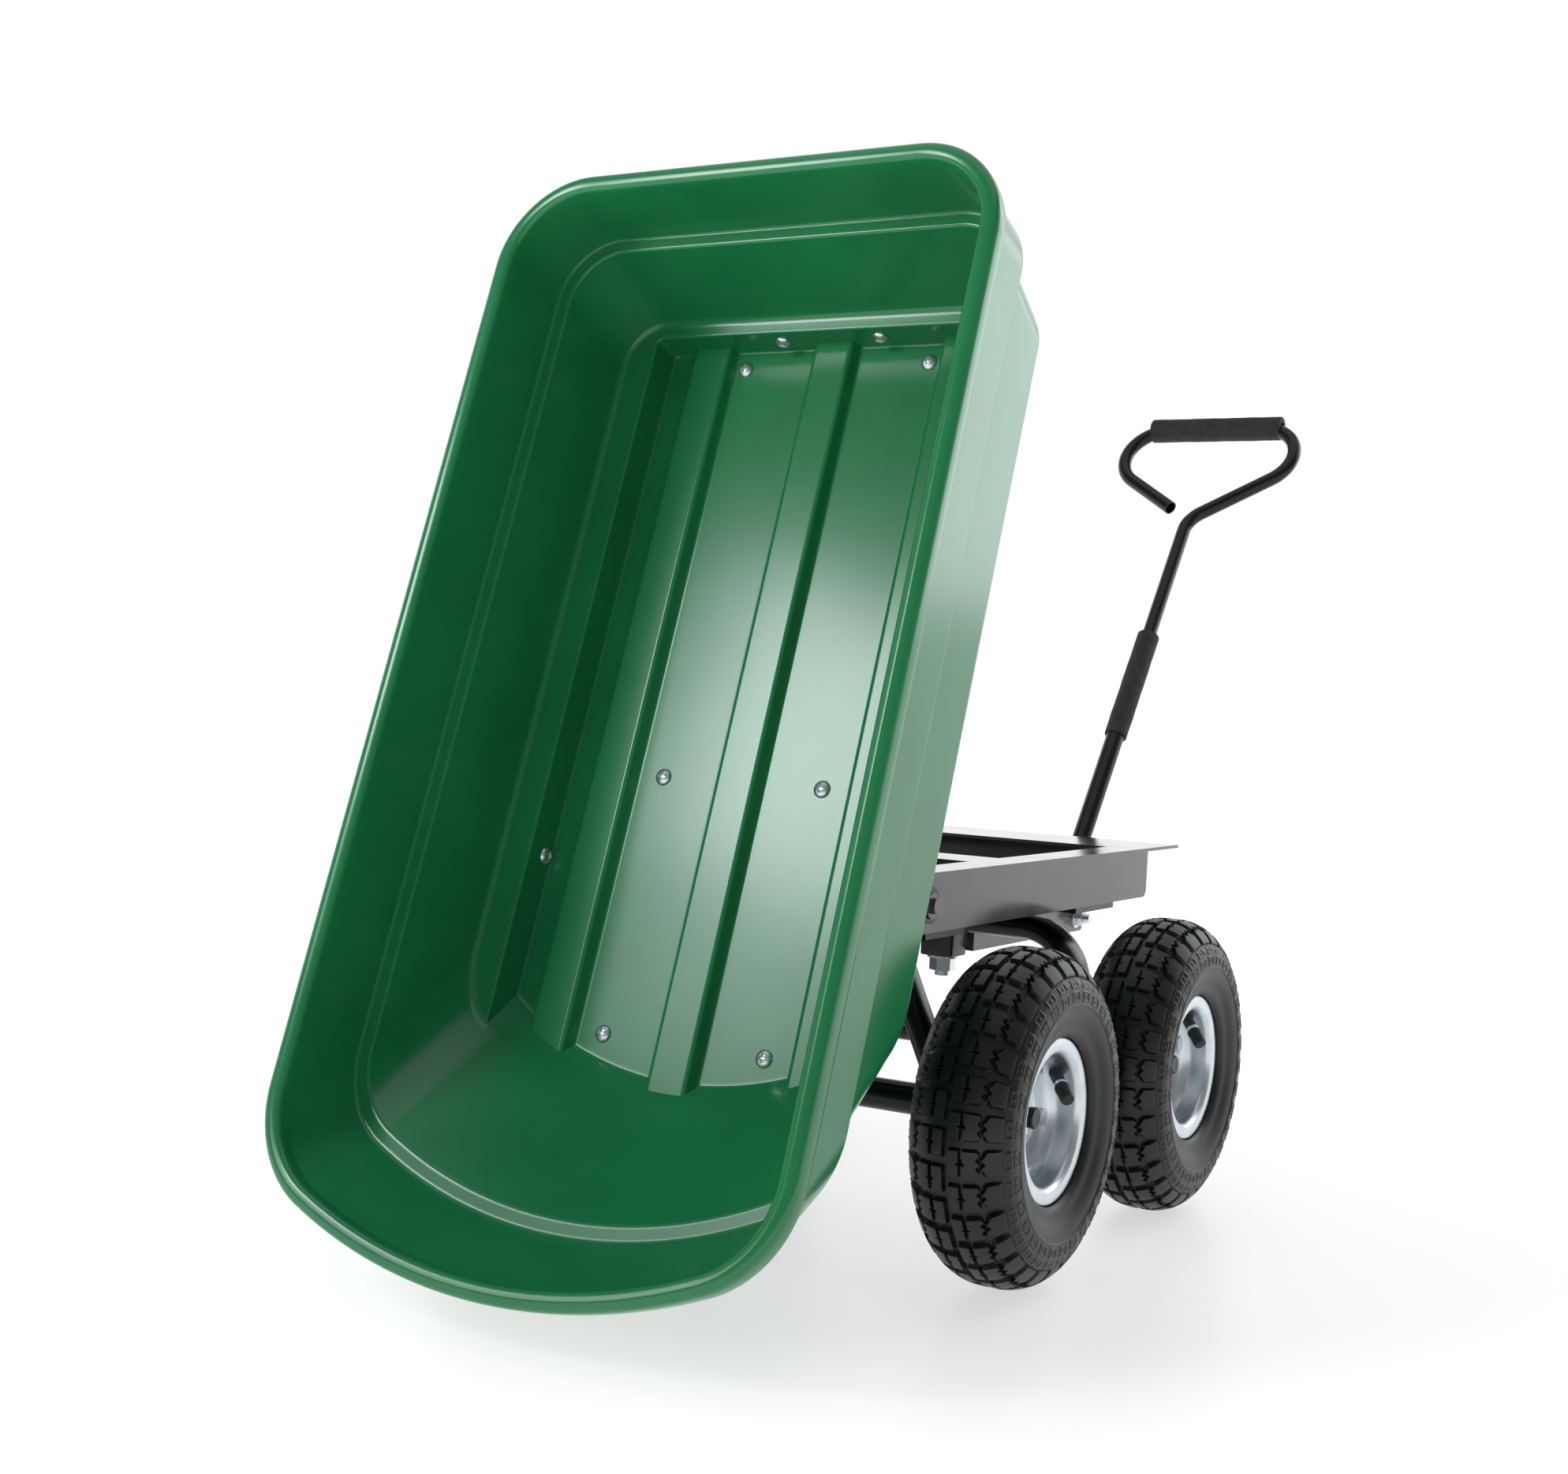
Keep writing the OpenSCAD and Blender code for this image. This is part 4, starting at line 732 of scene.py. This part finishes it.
def pan_bolt():
    """A pan-head bolt with its head on top of z = 0."""
    columns = 40
    profile = [(BOLT_D / 2 - 0.6, -BOLT_TAIL), (BOLT_D / 2, -BOLT_TAIL + 0.8)]
    thread = 1.25
    turns = int((BOLT_TAIL - 4) / thread)
    for i in range(turns):
        z = -BOLT_TAIL + 1 + i * thread
        profile += [(BOLT_D / 2 - 0.45, z + thread / 2), (BOLT_D / 2, z + thread)]
    profile += [(BOLT_D / 2, 0), (BOLT_HEAD_D / 2 - 0.3, 0), (BOLT_HEAD_D / 2, 0.4)]
    rings = 12
    for i in range(rings + 1):
        lean = math.radians(12 + 78 * i / rings)
        profile.append((BOLT_HEAD_D / 2 * math.cos(lean), BOLT_HEAD_H * math.sin(lean)))
    recess_half, recess_reach, recess_depth = 1.0, 3.7, 2.0
    points = []
    for i in range(columns):
        turn = 2 * math.pi * i / columns
        for r, z in profile:
            x, y = r * math.cos(turn), r * math.sin(turn)
            narrow, wide = sorted((abs(x), abs(y)))
            if z > BOLT_HEAD_H * 0.6 and narrow < recess_half and wide < recess_reach:
                z -= recess_depth
            points.append(Vector((x, y, z)))
    faces = grid_faces(columns, len(profile), close_rows=True)
    faces.append([i * len(profile) for i in range(columns)])
    return points, faces


def build_tub_bolts():
    bolt_points, bolt_faces = pan_bolt()
    places = []
    for u, v in FLOOR_BOLTS:
        for side in (-1, 1):
            places.append(Matrix.Translation((u, side * v, 0)))
    for side in (-1, 1):
        places.append(
            Matrix.Translation((0, side * HEAD_BOLT_V, HEAD_BOLT_W)) @ Matrix.Rotation(math.pi / 2, 4, "Y")
        )
        places.append(
            Matrix.Translation((HINGE_FROM_HEAD, side * HALF_RECESS, SIDE_BOLT_W))
            @ Matrix.Rotation(side * math.pi / 2, 4, "X")
        )
    points, faces = [], []
    for place in places:
        first = len(points)
        points += [TUB_FRAME @ (place @ p) for p in bolt_points]
        faces += [[first + i for i in face] for face in bolt_faces]
    mesh_piece("tub_pan_bolts", points, faces, "zinc", "tub", ["tub_bolts"], smooth_angle=45)


# Foam: a grip on the loop's bar and a sleeve on the shaft, along the handle from its pivot, in mm

GRIP_REACH = 716
GRIP_LENGTH = 164
GRIP_D = 29
LOOP_D = 16.2
SHAFT_LENGTH = 312
SLEEVE_LENGTH = 146
SLEEVE_D = 25.5

HANDLE_FRAME = (
    Matrix.Translation(HANDLE_PIVOT) @ Matrix.Rotation(HANDLE_LEAN, 4, "Y") @ Matrix.Diagonal((MM, MM, MM, 1))
)


def foam_tube(name, length, outer, bore, place, node):
    """A foam tube along local Z about its middle, slightly uneven, with square-cut ends."""
    lengths, around = 60, 48
    end_round = 1.2
    rows = []
    for i in range(lengths + 1):
        z = -length / 2 + length * i / lengths
        from_end = length / 2 - abs(z)
        uneven = 0.12 * math.sin(z / 9.0) + 0.08 * math.sin(z / 3.7 + 1)
        rows.append((outer / 2 - 0.2 + uneven * min(1, from_end / 12), z))
    rows[0] = (rows[0][0] - end_round, rows[0][1])
    rows[-1] = (rows[-1][0] - end_round, rows[-1][1])
    rows.insert(1, (rows[1][0], -length / 2 + end_round))
    rows.insert(-1, (rows[-2][0], length / 2 - end_round))
    inside = [(bore / 2, length / 2), (bore / 2, -length / 2)]
    points, faces = revolved(rows + inside, around)
    piece = mesh_piece(name, [place @ p for p in points], faces, "foam", "handle", [node], smooth_angle=50)


def build_foam():
    to_bar = Matrix(((0, 1, 0, 0), (0, 0, 1, 0), (1, 0, 0, GRIP_REACH), (0, 0, 0, 1)))
    foam_tube("grip_foam", GRIP_LENGTH, GRIP_D, LOOP_D, HANDLE_FRAME @ to_bar, "handle_grip")
    to_shaft = Matrix.Translation((0, 0, SHAFT_LENGTH))
    foam_tube("sleeve_foam", SLEEVE_LENGTH, SLEEVE_D, LOOP_D, HANDLE_FRAME @ to_shaft, "handle_sleeve")


# Rear legs and front arch: bars with well rounded edges, and the axles' ends, in mm

LEG_WIDTH, LEG_DEPTH = 21, 26
LEG_TOP_Y, LEG_FOOT_Y = 100, 160
ARCH_WIDTH, ARCH_DEPTH = 40, 22
ARCH_CROWN, ARCH_BEND_R = 85, 50
ARCH_LEAN = math.radians(15)
PIN_BLOCK, PIN_BLOCK_H, PIN_BORE = 34, 24, 7.3
SHAFT_R = 8
SHAFT_END = 10.4
SOFT_EDGE = 0.5


def oval(half_across, half_along, squareness=2.6, steps=40):
    """A closed outline between an ellipse and a rectangle."""
    outline = []
    for i in range(steps):
        turn = 2 * math.pi * i / steps
        c, s = math.cos(turn), math.sin(turn)
        outline.append((
            half_across * math.copysign(abs(c) ** (2 / squareness), c),
            half_along * math.copysign(abs(s) ** (2 / squareness), s),
        ))
    return outline


def capped(rings):
    """Points and faces of a bar through closed rings, with both ends shut."""
    size = len(rings[0])
    points = [p for ring in rings for p in ring]
    faces = grid_faces(len(rings), size, close_columns=True)
    faces.append(list(range(size)))
    faces.append(list(range(len(points) - size, len(points))))
    return points, faces


def build_rear_legs():
    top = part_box("rear_leg_left")[1][2] / MM
    lean = math.atan2(top - TYRE_R, LEG_FOOT_Y - LEG_TOP_Y)
    outline = oval(LEG_DEPTH / 2, LEG_WIDTH / 2 / math.sin(lean))
    middle = Vector((REAR_AXLE.x, 0, 0))
    for side, name in ((1, "left"), (-1, "right")):
        rings = []
        for y, z in ((LEG_TOP_Y, top), (LEG_FOOT_Y, TYRE_R)):
            rings.append([middle + Vector((a, side * (y + b), z)) * MM for a, b in outline])
        points, faces = capped(rings)
        node = "rear_leg_" + name
        mesh_piece("round_" + node, points, faces, "black_enamel", "chassis", [node], smooth_angle=50)


def arch_line(top):
    """Middle of the arch's bar from its right foot to its left one, with the direction out of the bend."""
    bend_z = top - ARCH_DEPTH / 2 - ARCH_BEND_R
    steps = 14
    right = []
    for i in range(steps + 1):
        turn = ARCH_LEAN + (math.pi / 2 - ARCH_LEAN) * i / steps
        out = Vector((math.cos(turn), math.sin(turn)))
        right.append((Vector((ARCH_CROWN, bend_z)) + out * ARCH_BEND_R, out))
    start, out = right[0]
    foot = start + Vector((math.tan(ARCH_LEAN), -1)) * (start.y - TYRE_R)
    left = [(foot, out)] + right
    return [(Vector((-p.x, p.y)), Vector((-n.x, n.y))) for p, n in left] + left[::-1]


def build_front_arch():
    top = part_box("front_arch")[1][2] / MM
    middle = Vector((JOINTS["front_right_spin"]["pos_m"][0], 0, 0))
    outline = oval(ARCH_WIDTH / 2, ARCH_DEPTH / 2)
    rings = []
    for p, out in arch_line(top):
        rings.append([middle + Vector((a, p.x + b * out.x, p.y + b * out.y)) * MM for a, b in outline])
    points, faces = capped(rings)
    foot, head = top - ARCH_DEPTH - PIN_BLOCK_H, top - ARCH_DEPTH / 2
    half, chamfer = PIN_BLOCK / 2, 1
    sides = 48
    square = oval(half, half, squareness=9, steps=sides)
    ease = oval(half - chamfer, half - chamfer, squareness=9, steps=sides)
    bore = oval(PIN_BORE, PIN_BORE, squareness=2, steps=sides)
    levels = [(bore, foot), (ease, foot), (square, foot + chamfer), (square, head), (bore, head)]
    first = len(points)
    points += [middle + Vector((a, b, z)) * MM for ring, z in levels for a, b in ring]
    faces += grid_faces(len(levels), sides, first=first, close_rows=True, close_columns=True)
    node = "front_arch"
    mesh_piece("round_" + node, points, faces, "black_enamel", "front_axle", [node], smooth_angle=50)


def build_axle_ends():
    """A rounded black end beyond each split pin."""
    cap = [
        (0, 0.05), (SHAFT_R, 0.05), (SHAFT_R + 0.3, 0.4), (SHAFT_R + 0.3, 3.0), (SHAFT_R - 0.7, 4.2), (0, 4.5)
    ]
    for wheel in WHEELS:
        outward = 1 if wheel.endswith("left") else -1
        end = Vector(JOINTS[wheel + "_spin"]["pos_m"]) + Vector((0, outward, 0)) * SHAFT_END * MM
        along = Matrix.Rotation(-outward * math.pi / 2, 4, "X")
        turned = Matrix.Translation(end) @ along @ Matrix.Scale(MM, 4)
        points, faces = revolved(cap, 40, closed=False)
        body = "chassis" if wheel.startswith("rear") else "front_axle"
        mesh_piece(wheel + "_axle_end", [turned @ p for p in points], faces, "black_enamel", body)


def finish_cad_nodes():
    """Every node that shows as it is takes its slot's finish, and sheet metal gets softened edges."""
    slots = {part["node"]: part["material_slot"] for part in frame["record"]["subparts"]}
    for name, node in frame["nodes"].items():
        for slot in node.material_slots:
            slot.material = FINISHES[slots[name]]
        if slots[name] in ("grey_enamel", "black_enamel", "zinc"):
            edge = node.modifiers.new("soft_edges", "BEVEL")
            edge.width = SOFT_EDGE * MM
            edge.segments = 2
            edge.limit_method = "ANGLE"
            edge.angle_limit = math.radians(40)
            edge.harden_normals = False
            keep_flats(node)


# Stage, light and camera

PHOTO_SIZE = (1988, 1869)
CAMERA_FROM_REAR_AXLE = Vector((-1440.0, -839.7, 442.4)) * MM
CAMERA_YAW, CAMERA_PITCH, CAMERA_ROLL = (math.radians(a) for a in (30.38, -1.25, -2.89))
FOCAL_PIXELS = 2597.6
SENSOR_WIDTH = 36.0
FLOOR_REACH = 40.0
FLOOR_GLOW = 1.3
OWN_WHITE_NEAR = 0.48
SHADOW_FROM, SHADOW_TO = 0.5, 1.15
BACKDROP = (0.86, 0.51, -0.4)
BACKDROP_EDGE = 0.75
ROOM_GLOW, BACKDROP_GLOW = 0.26, 1.45
DAYLIGHT = (0.92, 0.98, 1.0)
# Name, place, target and size in metres, power in watts; the first two show as the sheen on the tub's floor
SOFT_BOXES = (
    ("floor_box", (-1.984, 1.023, 1.534), (-0.407, -0.057, 0.404), (0.51, 0.56), 14),
    ("ramp_box", (-2.19, 1.164, 1.112), (-0.613, 0.084, -0.018), (0.51, 0.42), 3.4),
    ("side_box", (1.75, -1.1, 1.3), (-0.2, -0.1, 0.5), (1.3, 1.5), 12),
    ("top_box", (0.1, 0.0, 2.6), (0, 0, 0.3), (2.6, 2.6), 14),
)


def build_camera():
    forward = Vector((
        math.cos(CAMERA_PITCH) * math.cos(CAMERA_YAW), math.cos(CAMERA_PITCH) * math.sin(CAMERA_YAW),
        math.sin(CAMERA_PITCH),
    ))
    right = forward.cross(Vector((0, 0, 1))).normalized()
    down = forward.cross(right)
    c, s = math.cos(CAMERA_ROLL), math.sin(CAMERA_ROLL)
    across, below = c * right + s * down, c * down - s * right
    camera = new_object("camera", bpy.data.cameras.new("camera"))
    camera.data.sensor_fit = "HORIZONTAL"
    camera.data.sensor_width = SENSOR_WIDTH
    camera.data.lens = FOCAL_PIXELS / PHOTO_SIZE[0] * SENSOR_WIDTH
    camera.data.clip_start = 0.05
    turn = Matrix((across, -below, -forward)).transposed().to_4x4()
    place = Vector((REAR_AXLE.x, 0, 0)) + CAMERA_FROM_REAR_AXLE
    camera.matrix_world = Matrix.Translation(place) @ turn
    bpy.context.scene.camera = camera


def soft_box(name, place, target, size, power):
    light = bpy.data.lights.new(name, "AREA")
    light.shape = "RECTANGLE"
    light.size, light.size_y = size
    light.energy = power
    light.color = DAYLIGHT
    lamp = new_object(name, light)
    lamp.location = place
    lamp.rotation_euler = (Vector(target) - Vector(place)).to_track_quat("-Z", "Y").to_euler()


def build_stage():
    corners = [(x * FLOOR_REACH, y * FLOOR_REACH, 0) for x, y in ((-1, -1), (1, -1), (1, 1), (-1, 1))]
    mesh = bpy.data.meshes.new("floor")
    mesh.from_pydata(corners, [], [(0, 1, 2, 3)])
    floor = new_object("floor", mesh)
    # Pale sweep: part its own white and part lit near the cart, so that it keeps a soft shadow; white beyond
    material, tree, output, place = finish_named("pale_sweep")
    away = add(tree, "ShaderNodeVectorMath", {0: place}, operation="LENGTH")
    fade = add(
        tree, "ShaderNodeMapRange",
        {
            "Value": away.outputs["Value"], "From Min": SHADOW_FROM, "From Max": SHADOW_TO,
            "To Min": OWN_WHITE_NEAR, "To Max": 1.0,
        },
        interpolation_type="SMOOTHSTEP",
    )
    lit = add(tree, "ShaderNodeBsdfPrincipled", {"Base Color": linear("#f2f2f3"), "Roughness": 0.35})
    plain = add(tree, "ShaderNodeEmission", {"Color": linear("#ffffff"), "Strength": FLOOR_GLOW})
    mix = add(
        tree, "ShaderNodeMixShader",
        {0: fade.outputs["Result"], 1: lit.outputs["BSDF"], 2: plain.outputs["Emission"]},
    )
    tree.links.new(mix.outputs["Shader"], output.inputs["Surface"])
    mesh.materials.append(material)

    world = bpy.data.worlds.new("studio")
    bpy.context.scene.world = world
    world.use_nodes = True
    tree = world.node_tree
    tree.nodes.clear()
    path = add(tree, "ShaderNodeLightPath")
    seen = add(
        tree, "ShaderNodeMath", {0: path.outputs["Is Camera Ray"], 1: path.outputs["Is Transmission Ray"]},
        operation="MAXIMUM",
    )
    white = add(tree, "ShaderNodeBackground", {"Color": linear("#ffffff"), "Strength": 1.0})
    # A bright white backdrop behind the cart, and a dim room on the camera's side of it
    direction = add(tree, "ShaderNodeTexCoord").outputs["Generated"]
    behind = add(tree, "ShaderNodeVectorMath", {0: direction, 1: BACKDROP}, operation="DOT_PRODUCT")
    glow = add(
        tree, "ShaderNodeMapRange",
        {
            "Value": behind.outputs["Value"], "From Min": 0.0, "From Max": BACKDROP_EDGE,
            "To Min": ROOM_GLOW, "To Max": BACKDROP_GLOW,
        },
        interpolation_type="SMOOTHSTEP",
    )
    soft = add(tree, "ShaderNodeBackground", {"Color": linear("#f6f8fa"), "Strength": glow.outputs["Result"]})
    mix = add(
        tree, "ShaderNodeMixShader",
        {0: seen.outputs["Value"], 1: soft.outputs["Background"], 2: white.outputs["Background"]},
    )
    out = add(tree, "ShaderNodeOutputWorld")
    tree.links.new(mix.outputs["Shader"], out.inputs["Surface"])

    for box in SOFT_BOXES:
        soft_box(*box)


build_tub()
build_tub_bolts()
build_wheels()
build_valves()
build_foam()
build_rear_legs()
build_front_arch()
build_axle_ends()
finish_cad_nodes()
build_stage()
build_camera()
bpy.context.scene.view_settings.view_transform = "Standard"
